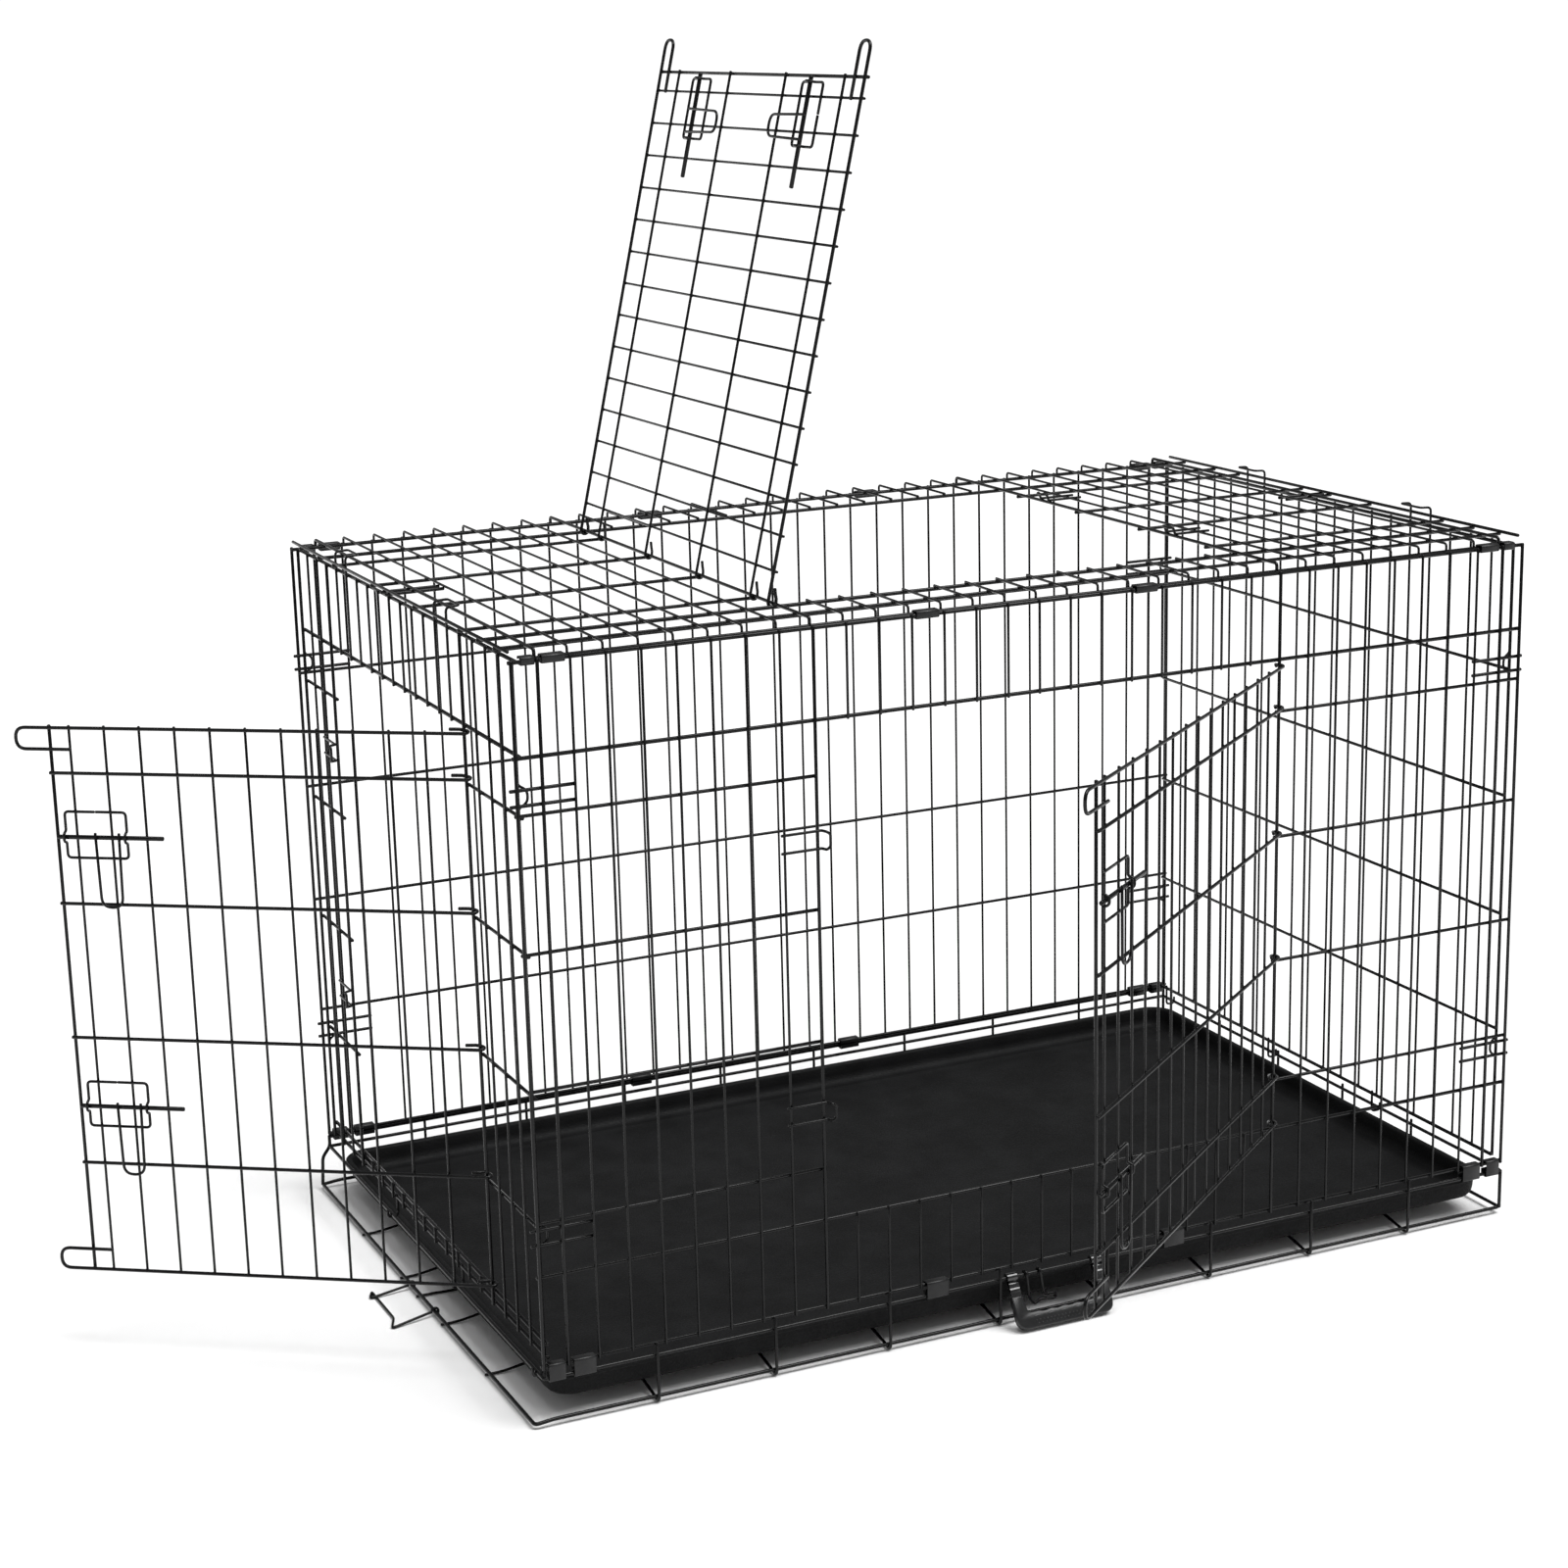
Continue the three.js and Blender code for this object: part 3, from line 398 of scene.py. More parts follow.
CLIP_STEEL = node_material(
    "black_clip_steel",
    colours=((0.003, 0.003, 0.0034), (0.008, 0.0082, 0.0088)),
    grain={"broad": 90, "fine": 800},
    roughness=(0.3, 0.5),
    bump={"strength": 0.3, "depth": 0.0002},
    specular=0.4,
)


# ---- panels ----
class Doorway:
    """A panel's doorway, between two uprights and two long wires."""

    def __init__(self, door, low, high, bottom, top):
        self.low, self.high, self.bottom, self.top = low, high, bottom, top
        self.middle = (bottom + top) / 2
        self.half = (top - bottom) / 2 - DOOR_INSET
        self.width = high - low - DOORS[door]["gap"]


# the far edge of each doorway is its door's hinge wire, at a place that the frame gives
FRONT_DOORWAY = Doorway("front_door", -FRONT_HINGE.x, FRONT_HINGE.x, 164, 706)
LEFT_DOORWAY = Doorway("left_door", end_cell(3), -LEFT_HINGE.y, 87, 706)
ROOF_DOORWAY = Doorway("top_door", TOP_HINGE.x, -TOP_HINGE.x, -259, 283)


def grille(wires, uprights, stout, rails, mids, doorway=None, tail=None):
    """Uprights welded to long wires, as in the CAD panel, with a doorway left open.

    tail draws the uprights of the roof, which has no rails and ends at its edge wires."""
    first, last = uprights[0] - PAST, uprights[-1] + PAST
    bottom, top = (rails[0] - PAST, rails[-1] + PAST) if rails else (-ROOF_EDGE, ROOF_EDGE)
    stout_at = list(stout) + ([doorway.low, doorway.high] if doorway else [])
    levels = [(y, RAIL) for y in rails] + [(y, MID) for y in mids]
    if doorway:
        levels += [(doorway.bottom, RAIL), (doorway.top, RAIL)]
    for x in uprights:
        radius = MID if any(abs(x - s) < 0.1 for s in stout_at) else THIN
        open_here = doorway and doorway.low + 1 < x < doorway.high - 1
        spans = [(bottom, top)]
        if open_here:
            spans = [(bottom, doorway.bottom + PAST), (doorway.top - PAST, top)]
        for low, high in spans:
            if tail:
                tail(wires, x, low, high, radius, low == bottom, high == top)
            else:
                wires.upright(x, low, high, radius)
            for y, long_radius in levels:
                if low < y < high:
                    wires.weld(x, y, -LAYER / 2, (radius + long_radius) * 0.62)
    for y, radius in levels:
        if doorway and doorway.bottom < y < doorway.top:
            wires.across(first, doorway.low + PAST, y, -LAYER, radius)
            wires.across(doorway.high - PAST, last, y, -LAYER, radius)
        else:
            wires.across(first, last, y, -LAYER, radius)


def bolt_catches(wires, door, doorway):
    """The loops at a doorway's edge that its door's bolts slide under."""
    edge = doorway.low
    flat = MID + FINE - 0.2
    raised = BOLT_OUT + BOLT + CLEARANCE + FINE

    def side(y, s):
        return [
            (edge - 42, y + s * 9.5, flat),
            (edge + 3, y + s * 9.5, flat),
            (edge + 5.5, y + s * 9.5, raised),
            (edge + 9.6, y + s * 6.5, raised),
        ]

    for y, _ in DOORS[door]["latches"]:
        wires.bend(side(y, -1) + side(y, 1)[::-1], FINE, 2)


def corner_bars(wires, uprights):
    """Pairs of short wires at each end of a panel, for the side loops of the end panels."""
    for loop in SIDE_LOOPS:
        for y in (loop - CORNER_BAR, loop + CORNER_BAR):
            wires.across(uprights[0] - BAR_END, uprights[2], y, -LAYER, MID)
            wires.across(uprights[-3], uprights[-1] + BAR_END, y, -LAYER, MID)


def side_panels():
    front = Wires(FRONT)
    grille(front, SIDE_X, SIDE_STOUT, (SIDE_BOTTOM, SIDE_TOP), FRONT_MIDS, FRONT_DOORWAY)
    bolt_catches(front, "front_door", FRONT_DOORWAY)
    corner_bars(front, SIDE_X)
    front.piece("front_panel_wires", "crate", "front_panel")

    back = Wires(BACK)
    grille(back, SIDE_X, SIDE_STOUT, (BACK_BOTTOM, SIDE_TOP), BACK_MIDS)
    corner_bars(back, SIDE_X)
    back.piece("back_panel_wires", "crate", "back_panel")


def roof_hook(wires, low):
    """Two uprights that carry on above an end panel and bend in over the roof's end wire."""
    high = low + END_PITCH
    up, over = END_TOP + 21.5, -15
    wires.bend([
        (low, END_TOP - 6, 0), (low, up, 0), (low, up + 0.8, over),
        (high, up + 0.8, over), (high, up, 0), (high, END_TOP - 6, 0),
    ], THIN, 5)


def base_hook(wires, x):
    """A small hook from an end panel's bottom wire round the base's upper end wire."""
    outside = RIM_END - END_OUT + RIM + CLEARANCE + FINE
    low = RIM_Z - RIM - 0.95 - FINE
    wires.bend([
        (x, END_BOTTOM + 3, -LAYER), (x, low, -LAYER), (x, low, outside), (x, RIM_Z + 4, outside),
    ], FINE, 5)


def side_loop(wires, edge, y):
    """The loop at an end panel's side that sits between a pair of corner bars."""
    out = math.copysign(1.5, edge)
    wires.bend([
        (edge, y - 20, 0), (edge, y - 12, 0), (edge + out, y - 6, -9.5),
        (edge + out, y + 6, -9.5), (edge, y + 12, 0), (edge, y + 20, 0),
    ], THIN, 5)


def end_panel(place, mids, doorway=None):
    wires = Wires(place)
    edges = (END_X[0], END_X[-1])
    grille(wires, END_X, edges, (END_BOTTOM, END_TOP), mids, doorway)
    for k in ROOF_HOOK_CELLS:
        roof_hook(wires, END_X[k])
    for x in BASE_HOOK_X:
        base_hook(wires, x)
    for edge in edges:
        for y in SIDE_LOOPS:
            side_loop(wires, edge, y)
    return wires


def end_panels():
    left = end_panel(LEFT, LEFT_MIDS, LEFT_DOORWAY)
    bolt_catches(left, "left_door", LEFT_DOORWAY)
    left.piece("left_panel_wires", "crate", "left_panel")
    end_panel(RIGHT, RIGHT_MIDS).piece("right_panel_wires", "crate", "right_panel")


def roof_tail(wires, x, low, high, radius, at_bottom, at_top):
    """A roof cross wire, whose ends bend down to the long edge wires."""
    path = [(x, low, 0), (x, high, 0)]
    if abs(x) < ROOF_EDGE_END:
        if at_bottom:
            path = [(x, low, 1 - ROOF_DROP)] + path
        if at_top:
            path = path + [(x, high, 1 - ROOF_DROP)]
    wires.bend(path, radius, 6)


def roof_panel():
    wires = Wires(ROOF)
    mids = [ROOF_DOORWAY.middle + y for y in ROOF_MIDS] + [-ROOF_EXTRA, ROOF_EXTRA]
    grille(wires, SIDE_X, SIDE_STOUT, (), mids, ROOF_DOORWAY, roof_tail)
    for y in (-ROOF_EDGE, ROOF_EDGE):
        wires.across(-ROOF_EDGE_END, ROOF_EDGE_END, y, -ROOF_DROP, RAIL)
    for y in ROOF_BARS:
        wires.across(SIDE_X[0] - ROOF_BAR_END, SIDE_X[2], y, -LAYER, MID)
        wires.across(SIDE_X[-3], SIDE_X[-1] + ROOF_BAR_END, y, -LAYER, MID)
    bolt_catches(wires, "top_door", ROOF_DOORWAY)
    wires.piece("top_panel_wires", "crate", "top_panel")


# ---- doors ----
def hooked(start, y, radius):
    """A door's long wire: from start to the hinge wire, once round it and back beside itself."""
    around = MID + CLEARANCE + radius
    path = [Vector(p) for p in start]
    for i in range(9):
        a = math.pi * i / 8
        path.append(Vector((around * math.sin(a), y + 1.5 * i / 8, around * math.cos(a))))
    path.append(Vector((-5, y + 3.0, -around + 1.4)))
    path.append(Vector((-10, y + 3.6, -0.4)))
    path.append(Vector((-15, y + 3.9, 1.2)))
    return path


def door_wires(name, place, doorway, mids):
    """A door's grille, with its hinge wire along x = 0 and its free edge towards -x."""
    wires = Wires(place)
    sizes = DOORS[name]
    middle, half, width = doorway.middle, doorway.half, doorway.width
    inner = DOOR_OUT - LAYER
    levels = [(middle - half, MID), (middle + half, MID)]
    levels += [(y + sizes["above"], sizes["long"]) for y in mids]
    for y, radius in levels[2:]:
        wires.run(hooked([(-width - PAST, y, DOOR_OUT)], y, radius), radius)
    # each outer wire runs on past the free edge, turns and comes back to the second upright
    for s in (-1, 1):
        outer = middle + s * half
        back = outer - s * DOOR_LOOP["back"]
        turn = -width - DOOR_LOOP["reach"]
        loop = rounded([
            (-width + DOOR_FIRST_CELL + PAST, back, DOOR_OUT),
            (turn, back, DOOR_OUT),
            (turn, outer, DOOR_OUT),
            (-width, outer, DOOR_OUT),
        ], DOOR_LOOP["bend"], 8)
        wires.run(hooked(loop, outer, MID), MID)
    xs = [(-width, MID)]
    for k in range(sizes["cells"]):
        x = -width + DOOR_FIRST_CELL + sizes["pitch"] * k
        if x < -12:
            xs.append((x, THIN))
    for x, radius in xs:
        wires.upright(x, middle - half - PAST, middle + half + PAST, radius, inner)
        for y, long_radius in levels:
            wires.weld(x, y, DOOR_OUT - LAYER / 2, (radius + long_radius) * 0.62)
    return wires


def latch(door, side, place, doorway, y, way):
    """A latch's guide, its bolt and the pull on the bolt. way is the side the pull hangs to."""
    outer = -doorway.width + DOORS[door]["guide"]
    inner = outer + GUIDE["length"]
    high, low = y + GUIDE["above"], y - GUIDE["below"]
    flat = DOOR_OUT - LAYER + THIN + FINE
    arch = BOLT_OUT + BOLT + 0.3 + FINE
    label = f"{door}_{side}_latch"

    def eyelet(x, s):
        """A frame side with a kink that the bolt passes under."""
        return [
            (x, y - s * 10, flat), (x, y - s * 6.5, flat), (x, y - s * 4, arch),
            (x, y + s * 4, arch), (x, y + s * 6.5, flat), (x, y + s * 10, flat),
        ]

    seam = outer + GUIDE["length"] / 2
    guide = Wires(place)
    guide.bend([
        (seam - 0.9, high, flat), (outer, high, flat), *eyelet(outer, -1), (outer, low, flat),
        (inner, low, flat), *eyelet(inner, 1), (inner, high, flat), (seam + 0.9, high, flat),
    ], FINE, 4.5)
    guide.piece(f"{label}_guide_wire", door, f"{label}_guide")

    bolt = Wires(place)
    tip = -doorway.width + DOORS[door]["bolt"]
    bolt.run([(tip + end, y, BOLT_OUT) for end in BOLT_ENDS], BOLT)
    bolt.piece(f"{label}_bolt_rod", f"{door}_{side}_bolt", f"{label}_bolt")

    near = inner - PULL["first"]
    far = near - PULL["width"]
    start, end = y - way * PULL["above"], y + way * PULL["drop"]
    out = BOLT_OUT + BOLT + FINE - 0.15
    pull = Wires(place)
    pull.bend([
        (near, start, out), (near - PULL["narrow"], end, out),
        (far + PULL["narrow"], end, out), (far, start, out),
    ], FINE, PULL["bend"])
    pull.piece(f"{label}_pull_wire", f"{door}_{side}_pull", f"{label}_pull")


def hang_door(name, panel, doorway, mids):
    """A door as it stands in the photograph, with both its latches."""
    turned = Matrix.Rotation(swing(f"{name}_hinge"), 4, "Y")
    place = panel @ Matrix.Translation((doorway.high, 0, 0)) @ turned
    door_wires(name, place, doorway, mids).piece(f"{name}_wires", name, name)
    for side, (y, way) in zip(("lower", "upper"), DOORS[name]["latches"]):
        latch(name, side, place, doorway, y, way)


def doors():
    hang_door("front_door", FRONT, FRONT_DOORWAY, FRONT_MIDS)
    hang_door("left_door", LEFT, LEFT_DOORWAY, LEFT_MIDS)
    hang_door("top_door", ROOF, ROOF_DOORWAY, [ROOF_DOORWAY.middle + y for y in ROOF_MIDS])


# ---- base ----
def ring_path(half_x, half_y, z, corner, steps=8):
    """A rectangle with round corners, as one closed path."""
    path = []
    for k in range(4):
        sx = 1 if k in (0, 3) else -1
        sy = 1 if k < 2 else -1
        for i in range(steps + 1):
            a = math.pi / 2 * (k + i / steps)
            x = sx * (half_x - corner) + corner * math.cos(a)
            y = sy * (half_y - corner) + corner * math.sin(a)
            path.append(Vector((x, y, z)))
    return path


def base():
    """The base: wires under the tray, an upper and a lower rim, corner uprights and stubs."""
    low, high = box_mm("base_frame")
    cross_out = high.y - CROSS
    right_z = LOWER_Z - RIM - RUNNER + 0.2
    left_z = FLOOR_RIM.z - RIM - RUNNER + 0.2
    runner_z = BED_Z - CROSS - RUNNER + 0.4
    wires = Wires(WORLD)
    for y in RUNNER_Y:
        wires.bend([
            (low.x + 2, y, left_z), (6 - RIM_END, y, left_z), (-RUNNER_IN, y, runner_z),
            (RUNNER_IN, y, runner_z), (RIM_END - 6, y, right_z), (high.x - 2, y, right_z),
        ], RUNNER, 20)
    wires.bend([
        (low.x + 2, 0, left_z), (6 - RIM_END, 0, left_z), (18 - RIM_END, 0, RUNNER),
        (RIM_END - 18, 0, RUNNER), (RIM_END - 6, 0, right_z), (high.x - 2, 0, right_z),
    ], RUNNER, 5)
    for k in range(CROSS_COUNT):
        x = CROSS_FIRST + CROSS_PITCH * k
        wires.bend([
            (x, -cross_out, high.z), (x, -cross_out, CROSS), (x, -RAMP_IN, BED_Z),
            (x, RAMP_IN, BED_Z), (x, cross_out, CROSS), (x, cross_out, high.z),
        ], CROSS, 7)
        for s in (-1, 1):
            for z in (LOWER_Z, RIM_Z):
                wires.weld(x, s * (RIM_Y + RIM), z, 2.4)
    wires.run(ring_path(RIM_END, RIM_Y, RIM_Z, 3), RIM, closed=True)
    # the lower wire is one ring, sunk towards its left end
    left = -FLOOR_RIM.x
    wires.run(rounded([
        (RIM_END, 0, LOWER_Z), (RIM_END, RIM_Y, LOWER_Z), (-LOW_START, RIM_Y, LOWER_Z),
        (-left, RIM_Y, FLOOR_RIM.z), (-left, -RIM_Y, FLOOR_RIM.z),
        (-LOW_START, -RIM_Y, LOWER_Z), (RIM_END, -RIM_Y, LOWER_Z), (RIM_END, 0, LOWER_Z),
    ], 5, 5)[:-1], RIM, closed=True)
    wires.across(-RIM_END - 1, RIM_END + 1, RIM_Y, BACK_RIM_Z, RIM)
    for sy in (-1, 1):
        top = BACK_RIM_Z if sy > 0 else RIM_Z
        wires.run([(RIM_END, sy * RIM_Y, LOWER_Z), (RIM_END, sy * RIM_Y, top)], RIM)
        wires.bend([
            (-RIM_END, sy * RIM_Y, top), (-RIM_END, sy * RIM_Y, RIM_Z),
            (2 - left, sy * RIM_Y, RIM_Z - POST_DROP), (-left, sy * RIM_Y, FLOOR_RIM.z),
        ], RIM, 5)
    for y in STUB_Y:
        x = RIM_END + RIM + CROSS - 0.4
        wires.run([(x, y, LOWER_Z - 2), (x, y, RIM_Z + 4)], CROSS)
    wires.piece("base_frame_wires", "crate", "base_frame")


def tray():
    """A vacuum-formed tray: lofted rings from the lip's underside, over the rim and in to the floor."""
    low, high = box_mm("tray")
    half_x, half_y = high.x, high.y
    bottom, top = low.z, high.z
    wall = 2.6
    # (distance in from the lip's edge, height): outside, up over the lip and down the inside
    profile = [
        (5.2, top - wall), (4.0, top - wall), (0.8, top - wall - 0.2), (0, top - wall + 0.5),
        (0, top - 0.8), (0.7, top), (4.6, top), (6.6, top - 0.7), (7.6, top - 2.6),
        (8.2, bottom + 14), (9.4, bottom + 8), (12.6, bottom + 4), (17.0, bottom + wall),
        (24.0, bottom + wall), (26.0, bottom + wall + 0.8), (30.0, bottom + wall + 0.8),
        (32.0, bottom + wall), (44, bottom + wall),
    ]
    under = [
        (44, bottom), (15.0, bottom), (10.6, bottom + 1.6), (7.0, bottom + 6), (5.6, bottom + 12),
        (5.2, bottom + 18),
    ]
    corner = 35
    rings = []
    loft = Wires(WORLD)
    for inset, z in profile + under:
        path = ring_path(half_x - inset, half_y - inset, z, max(corner - inset, 4), 10)
        rings.append(len(loft.verts))
        loft.verts.extend(loft.place @ p for p in path)
    sides = len(path)
    floor_in = len(profile) - 1
    loops = list(zip(rings[:floor_in + 1], rings[1:floor_in + 1])) + list(
        zip(rings[floor_in + 1:], rings[floor_in + 2:])
    )
    loops.append((rings[-1], rings[0]))
    for a, b in loops:
        for k in range(sides):
            n = (k + 1) % sides
            loft.faces.append((a + k, a + n, b + n, b + k))
    loft.faces.append(tuple(rings[floor_in] + k for k in range(sides)))
    loft.faces.append(tuple(rings[floor_in + 1] + k for k in reversed(range(sides))))
    dress(loft.mesh("tray_moulding"), "tray_moulding", "tray", TRAY, ["tray"])


def tray_stop():
    """A bent wire on the left lower end wire, which keeps the tray in."""
    x, z = FLOOR_RIM.x, FLOOR_RIM.z
    near, far = STOP["near"], STOP["far"]
    low = z - STOP["droop"]
    end = x - STOP["reach"]
    around = RIM + CLEARANCE + FINE

    def hook(y):
        """Round the lower end wire from inside, over it and out."""
        turn = []
        for i in range(11):
            a = math.radians(-60 + 240 * i / 10)
            turn.append(Vector((x + around * math.cos(a), y, z + around * math.sin(a))))
        return turn

    wires = Wires(WORLD)
    loop = rounded([
        (x - around, near, z + 0.2), (end, near - 6, low), (end + 7, near + 11, low),
        (end + 7, far + 13, low), (end - 3, far - 12, low), (x - around, far, z + 0.2),
    ], 5, 6)
    wires.run(hook(near) + loop[1:-1] + hook(far)[::-1], FINE)
    wires.piece("tray_stop_wire", "tray_stop", "tray_stop")


def fold_hook():
    """A bent wire that hangs on the base's upper front wire by two hooks."""
    x = FOLD_HOOK["x"]
    other = x + FOLD_HOOK["apart"]
    low = RIM_Z - FOLD_HOOK["drop"]
    around = RIM + CLEARANCE + FINE

    def curl(at):
        turn = []
        for i in range(11):
            a = math.radians(-70 + 250 * i / 10)
            turn.append(Vector((at, -RIM_Y + around * math.cos(a), RIM_Z + around * math.sin(a))))
        return turn

    y = -RIM_Y - around
    wires = Wires(WORLD)
    loop = rounded([
        (x, y, RIM_Z), (x + 3, y, low + 4), (x + 9, y, low - 5), (other, y, low),
        (other + 19, y, low - 3), (other + 19, y, low + 3.6), (other + 4, y, low + 5),
        (other, y, RIM_Z),
    ], 4, 5)
    wires.run(curl(x) + loop[1:-1] + curl(other)[::-1], FINE)
    wires.piece("fold_lock_hook_wire", "fold_lock_hook", "fold_lock_hook")


# ---- carry handle ----
def handle_place():
    """The handle's own frame: x along the wire it hangs on, z up the arms and y its thickness."""
    grip_low, grip_high = box_mm("carry_handle_grip")
    centre = (grip_low.x + grip_high.x) / 2
    return WORLD @ Matrix.Translation((centre, -RIM_Y, RIM_Z)) @ Matrix.Rotation(-HANDLE_LEAN, 4, "X")


def plate(name, place, outline, thick, edge):
    """The mesh of a flat moulding: an outline given a thickness, its edges broken by a small round."""
    count = len(outline)
    normals = []
    for i, point in enumerate(outline):
        run = (outline[(i + 1) % count] - outline[i - 1]).normalized()
        normals.append(Vector((run.z, 0, -run.x)))
    shape = Wires(place)
    half = thick / 2
    rings = []
    levels = (
        (-half, edge), (0.35 * edge - half, 0.3 * edge), (edge - half, 0),
        (half - edge, 0), (half - 0.35 * edge, 0.3 * edge), (half, edge),
    )
    for depth, inset in levels:
        rings.append(len(shape.verts))
        for point, normal in zip(outline, normals):
            shape.verts.append(shape.place @ (point - normal * inset + Vector((0, depth, 0))))
    shape.skin(rings, sides=count)
    return shape.mesh(name)


def carry_handle():
    """The grip, its pattern and the two clips it hangs by."""
    place = handle_place()
    top = -HANDLE_CLIP - CLEARANCE
    bottom = -HANDLE_DROP + HANDLE_THICK / 2
    half, arm = HANDLE_HALF, HANDLE_ARM
    outer = rounded([
        (-half, 0, top), (-half, 0, bottom), (half, 0, bottom), (half, 0, top),
    ], 13, 8)
    # the bar's upper edge dips between the fingers
    inner = [Vector((half - arm, 0, top))]
    inner += rounded([
        (half - arm, 0, top - 4), (half - arm - 1, 0, bottom + HANDLE_BAR),
        (half - arm - 12, 0, bottom + HANDLE_BAR),
    ], 5, 5)
    for k in range(33):
        x = (half - arm - 14) * (1 - k / 16)
        dip = 1.1 * (1 - math.cos(math.tau * 2 * (k / 32) * 2)) / 2
        inner.append(Vector((x, 0, bottom + HANDLE_BAR - dip)))
    inner += rounded([
        (-half + arm + 12, 0, bottom + HANDLE_BAR), (-half + arm + 1, 0, bottom + HANDLE_BAR),
        (-half + arm, 0, top - 4),
    ], 5, 5)
    inner.append(Vector((-half + arm, 0, top)))
    name = "carry_handle_moulding"
    mesh = plate(name, place, outer + inner, HANDLE_THICK, 1.6)
    dress(mesh, name, "carry_handle", HANDLE, ["carry_handle_grip"])
    handle_grip_pattern(place, bottom)
    for side, s in (("left", -1), ("right", 1)):
        handle_clip(place, s * (half - arm / 2), f"carry_handle_clip_{side}")


def handle_grip_pattern(place, bottom):
    """Oval pads along the bar's upper edge and two rows of small dots below them."""
    face = -HANDLE_THICK / 2
    pattern = Wires(place)
    across, up = Vector((1, 0, 0)), Vector((0, 0, 1))

    def button(x, z, wide, high, rise):
        rings = []
        for level, spread in ((0.4, 1.0), (-0.5 * rise, 0.92), (-rise, 0.6)):
            first = len(pattern.verts)
            for k in range(12):
                a = math.tau * k / 12
                offset = across * math.cos(a) * wide * spread + up * math.sin(a) * high * spread
                pattern.verts.append(pattern.place @ (Vector((x, face + level, z)) + offset))
            rings.append(first)
        pattern.skin(rings)

    for k in range(5):
        button(-34 + 17 * k, bottom + 12.6, 6, 1.5, 0.7)
    for row, z in enumerate((bottom + 8, bottom + 4.6)):
        for k in range(17):
            button(-38 + 4.6 * k + 2.3 * row, z, 1.0, 0.9, 0.6)
    name = "carry_handle_pattern"
    dress(pattern.mesh(name), name, "carry_handle", HANDLE, [])


def handle_clip(place, x, node):
    """A clip that wraps the wire and runs down over the arm's end, with ribs across its front."""
    half = HANDLE_ARM / 2 - 1
    reach = RIM + CLEARANCE
    wall = 2.6
    ring_out = []
    for i in range(13):
        a = math.radians(-50 + 280 * i / 12)
        ring_out.append(((reach + wall) * math.cos(a), (reach + wall) * math.sin(a)))
    front = [
        (-2.9, -6.5), (-3.3, -7.5), (-3.3, -10.5), (-2.7, -11.5), (-2.7, -12.5), (-3.3, -13.5),
        (-3.3, -16.5), (-2.7, -17.5), (-2.5, -HANDLE_CLIP),
    ]
    back = [(2.5, -HANDLE_CLIP), (2.5, -7.0)]
    ring_in = []
    for i in range(13):
        a = math.radians(230 - 280 * i / 12)
        ring_in.append((reach * math.cos(a), reach * math.sin(a)))
    loop = ring_out[::-1] + ring_in[::-1]
    tongue = (front + back)[::-1] + [(2.4, -4.4), (-2.4, -4.4)]
    strip = Wires(place)
    # the tongue's ends are drawn in a little, so that its edges are soft
    for points, drawn_in in ((loop, 1), (tongue, 0.93)):
        mid_y = sum(p[0] for p in points) / len(points)
        mid_z = sum(p[1] for p in points) / len(points)
        rings = []
        for offset, shrink in ((-half, drawn_in), (-half + 0.6, 1), (half - 0.6, 1), (half, drawn_in)):
            rings.append(len(strip.verts))
            for y, z in points:
                y, z = mid_y + (y - mid_y) * shrink, mid_z + (z - mid_z) * shrink
                strip.verts.append(strip.place @ Vector((x + offset, y, z)))
        strip.skin(rings, sides=len(points))
    dress(strip.mesh(node), f"{node}_moulding", "carry_handle", GLOSSY, [node])


# ---- clips ----
def clips():
    """A bent steel strip for each clip, with round bends and a seam on its inner side."""
    wall = 1.2
    seam = 1.2  # half the seam's gap, to the middle of the wall
    for node in frame["nodes"]:
        row, _, number = node.rpartition("_clip_")
        if not number.isdigit():
            continue
        low, high = box_mm(node)
        inward = -1 if (low.y + high.y) > 0 else 1
        middle_z = (low.z + high.z) / 2
        outer = [
            (high.y, middle_z), (high.y, high.z), (low.y, high.z), (low.y, low.z), (high.y, low.z),
            (high.y, middle_z),
        ]
        if inward < 0:
            outer = [(low.y + high.y - y, z) for y, z in outer]
        centre_y = (low.y + high.y) / 2
        strip = []
        for y, z in outer:
            toward_y = wall / 2 * (1 if centre_y > y else -1)
            toward_z = 0 if z == middle_z else wall / 2 * (1 if middle_z > z else -1)
            strip.append((0, y + toward_y, z + toward_z))
        strip[0] = (0, strip[0][1], middle_z + seam)
        strip[-1] = (0, strip[-1][1], middle_z - seam)
        path = rounded(strip, 2.2, 5)
        sections = []
        for i, point in enumerate(path):
            ahead = path[min(i + 1, len(path) - 1)] - path[max(i - 1, 0)]
            ahead.normalize()
            sections.append((point, Vector((0, -ahead.z, ahead.y))))
        mesh = strip_mesh(node, sections, low.x, high.x, wall)
        dress(mesh, f"{node}_strip", "crate", CLIP_STEEL, [node])


def strip_mesh(name, sections, low_x, high_x, wall):
    """A strip swept along its bends, with its long edges broken by a small chamfer."""
    chamfer = 0.3
    half = wall / 2
    outline = [
        (low_x, half - chamfer), (low_x + chamfer, half),
        (high_x - chamfer, half), (high_x, half - chamfer),
        (high_x, chamfer - half), (high_x - chamfer, -half),
        (low_x + chamfer, -half), (low_x, chamfer - half),
    ]
    sweep = Wires(WORLD)
    rings = []
    for point, normal in sections:
        rings.append(len(sweep.verts))
        for x, out in outline:
            sweep.verts.append(sweep.place @ (Vector((x, point.y, point.z)) + normal * out))
    sweep.skin(rings, sides=len(outline))
    return sweep.mesh(name)


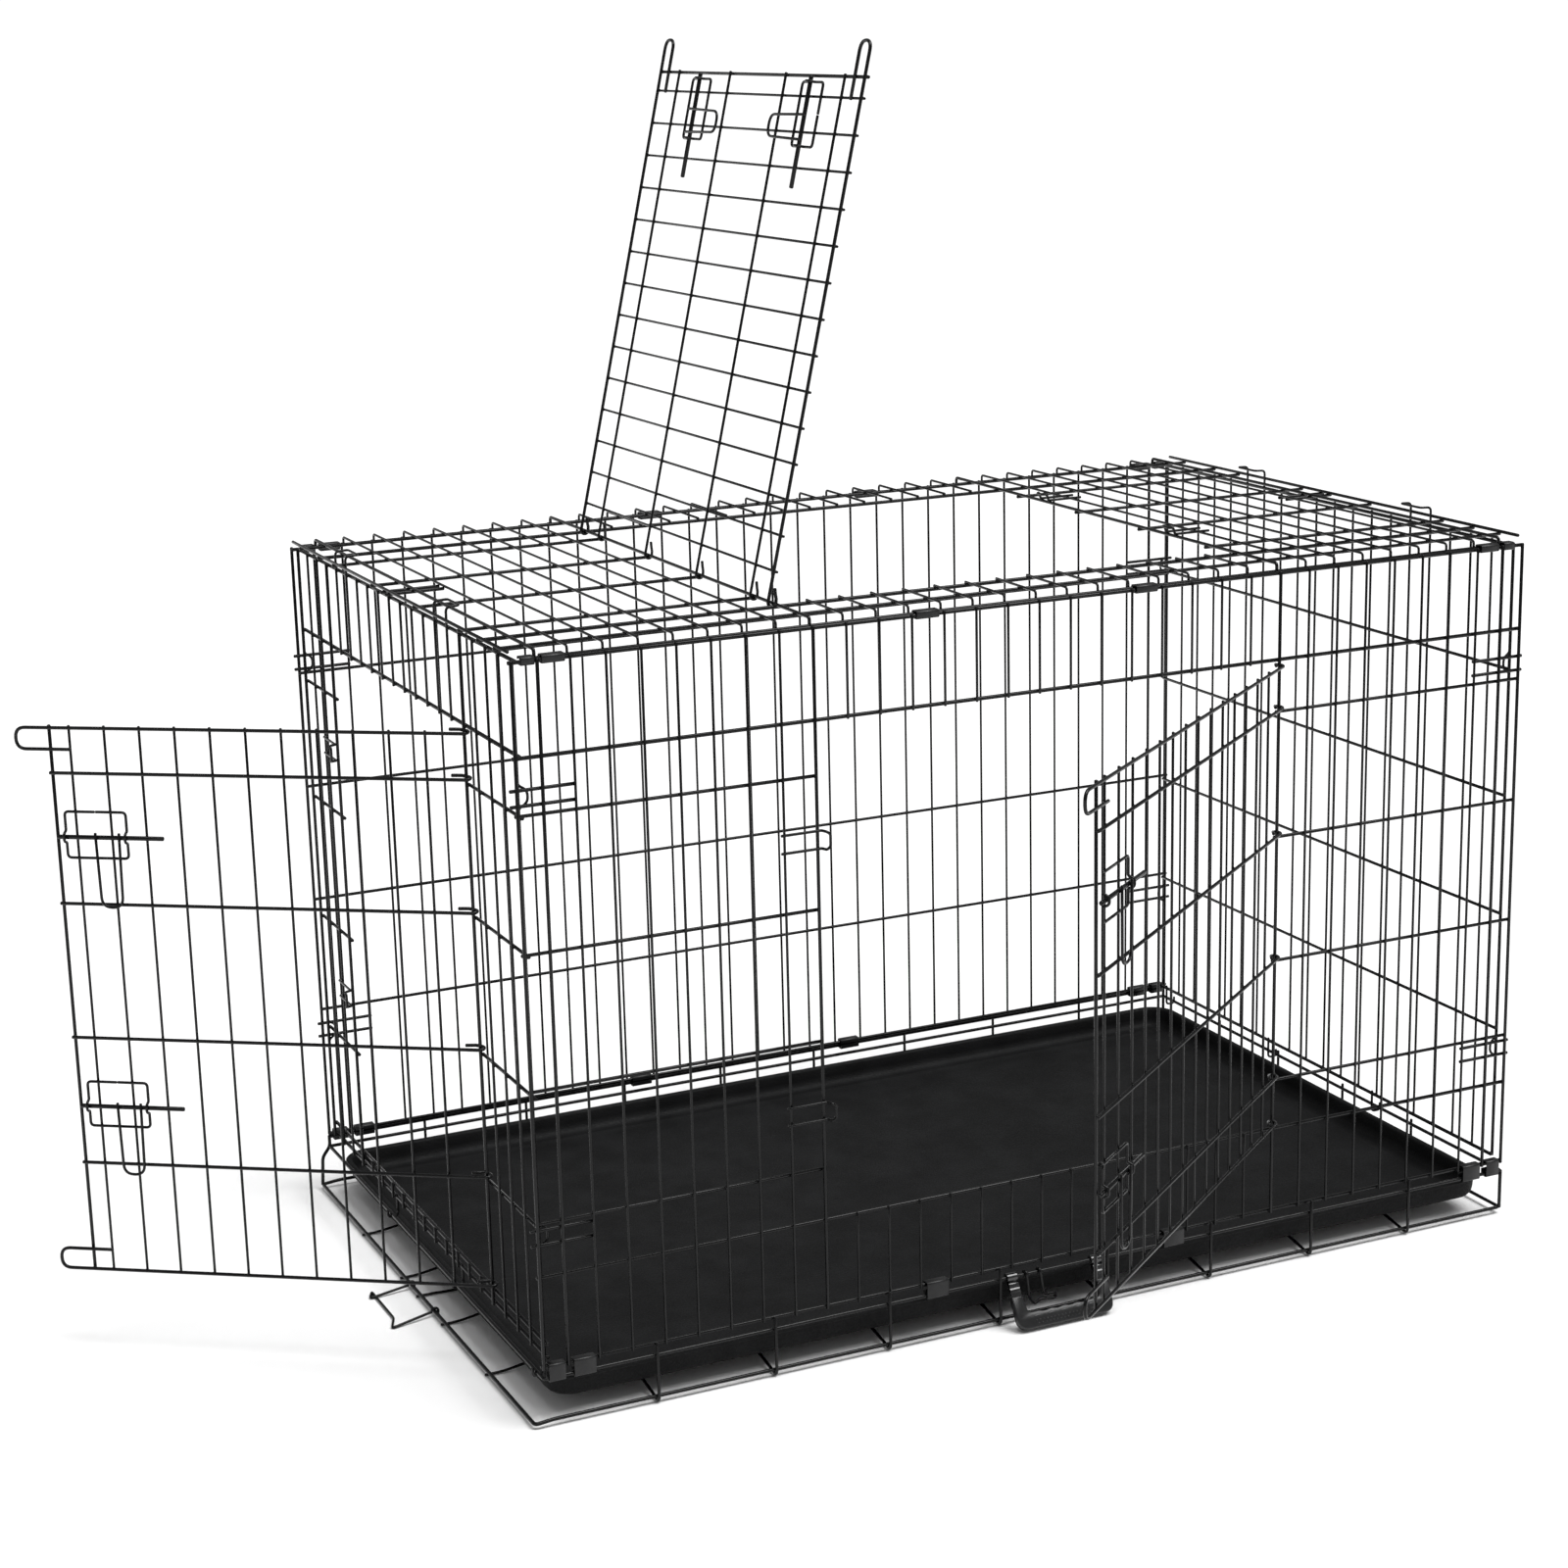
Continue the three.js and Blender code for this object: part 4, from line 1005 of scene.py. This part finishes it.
# ---- camera, light and floor ----
CAMERA_AT = (-1.56826, -3.09734, 1.4114)
CAMERA_TURN = (75.65, 1.39, -25.05)
LENS = 70.2
AIM = (0, 0, 0.4)  # where the area light points
FLOOR_REACH = 60


def camera():
    data = bpy.data.cameras.new("camera")
    data.lens = LENS
    data.sensor_width = 36
    data.clip_end = 200
    eye = bpy.data.objects.new("camera", data)
    eye.location = CAMERA_AT
    eye.rotation_euler = [math.radians(a) for a in CAMERA_TURN]
    bpy.context.scene.collection.objects.link(eye)
    bpy.context.scene.camera = eye


def area_light(name, at, size, power):
    data = bpy.data.lights.new(name, "AREA")
    data.shape = "RECTANGLE"
    data.size, data.size_y = size
    data.energy = power
    lamp = bpy.data.objects.new(name, data)
    lamp.location = at
    lamp.rotation_euler = (Vector(AIM) - Vector(at)).to_track_quat("-Z", "Y").to_euler()
    bpy.context.scene.collection.objects.link(lamp)


def sun(turn, angle, strength):
    data = bpy.data.lights.new("sky", "SUN")
    data.angle = math.radians(angle)
    data.energy = strength
    lamp = bpy.data.objects.new("sky", data)
    lamp.rotation_euler = [math.radians(a) for a in turn]
    bpy.context.scene.collection.objects.link(lamp)


def white_world():
    """A backdrop that is pure white to the eye and dimmer as a light."""
    world = bpy.data.worlds.new("studio")
    world.use_nodes = True
    tree = world.node_tree
    rays = tree.nodes.new("ShaderNodeLightPath")
    level = tree.nodes.new("ShaderNodeMapRange")
    level.inputs["To Min"].default_value = 0.3
    level.inputs["To Max"].default_value = 1.05
    tree.links.new(rays.outputs["Is Camera Ray"], level.inputs["Value"])
    tree.links.new(level.outputs["Result"], tree.nodes["Background"].inputs["Strength"])
    tree.nodes["Background"].inputs["Color"].default_value = (1, 1, 1, 1)
    bpy.context.scene.world = world


def studio():
    bpy.context.scene.view_settings.view_transform = "Standard"
    white_world()
    sun((14, 20, 0), 40, 3.0)
    area_light("key", (-1.5, -1.0, 5.0), (1.2, 1.2), 40)

    mesh = bpy.data.meshes.new("floor")
    corners = [(sx * FLOOR_REACH, sy * FLOOR_REACH, 0) for sx, sy in ((-1, -1), (1, -1), (1, 1), (-1, 1))]
    mesh.from_pydata(corners, [], [(0, 1, 2, 3)])
    floor = bpy.data.objects.new("floor", mesh)
    bpy.context.scene.collection.objects.link(floor)
    pale = bpy.data.materials.new("pale_floor")
    pale.use_nodes = True
    shader = pale.node_tree.nodes["Principled BSDF"]
    shader.inputs["Base Color"].default_value = (0.97, 0.97, 0.97, 1)
    shader.inputs["Roughness"].default_value = 0.9
    shader.inputs["Specular IOR Level"].default_value = 0.0
    mesh.materials.append(pale)


camera()
studio()
base()
side_panels()
end_panels()
roof_panel()
doors()
tray()
tray_stop()
fold_hook()
carry_handle()
clips()
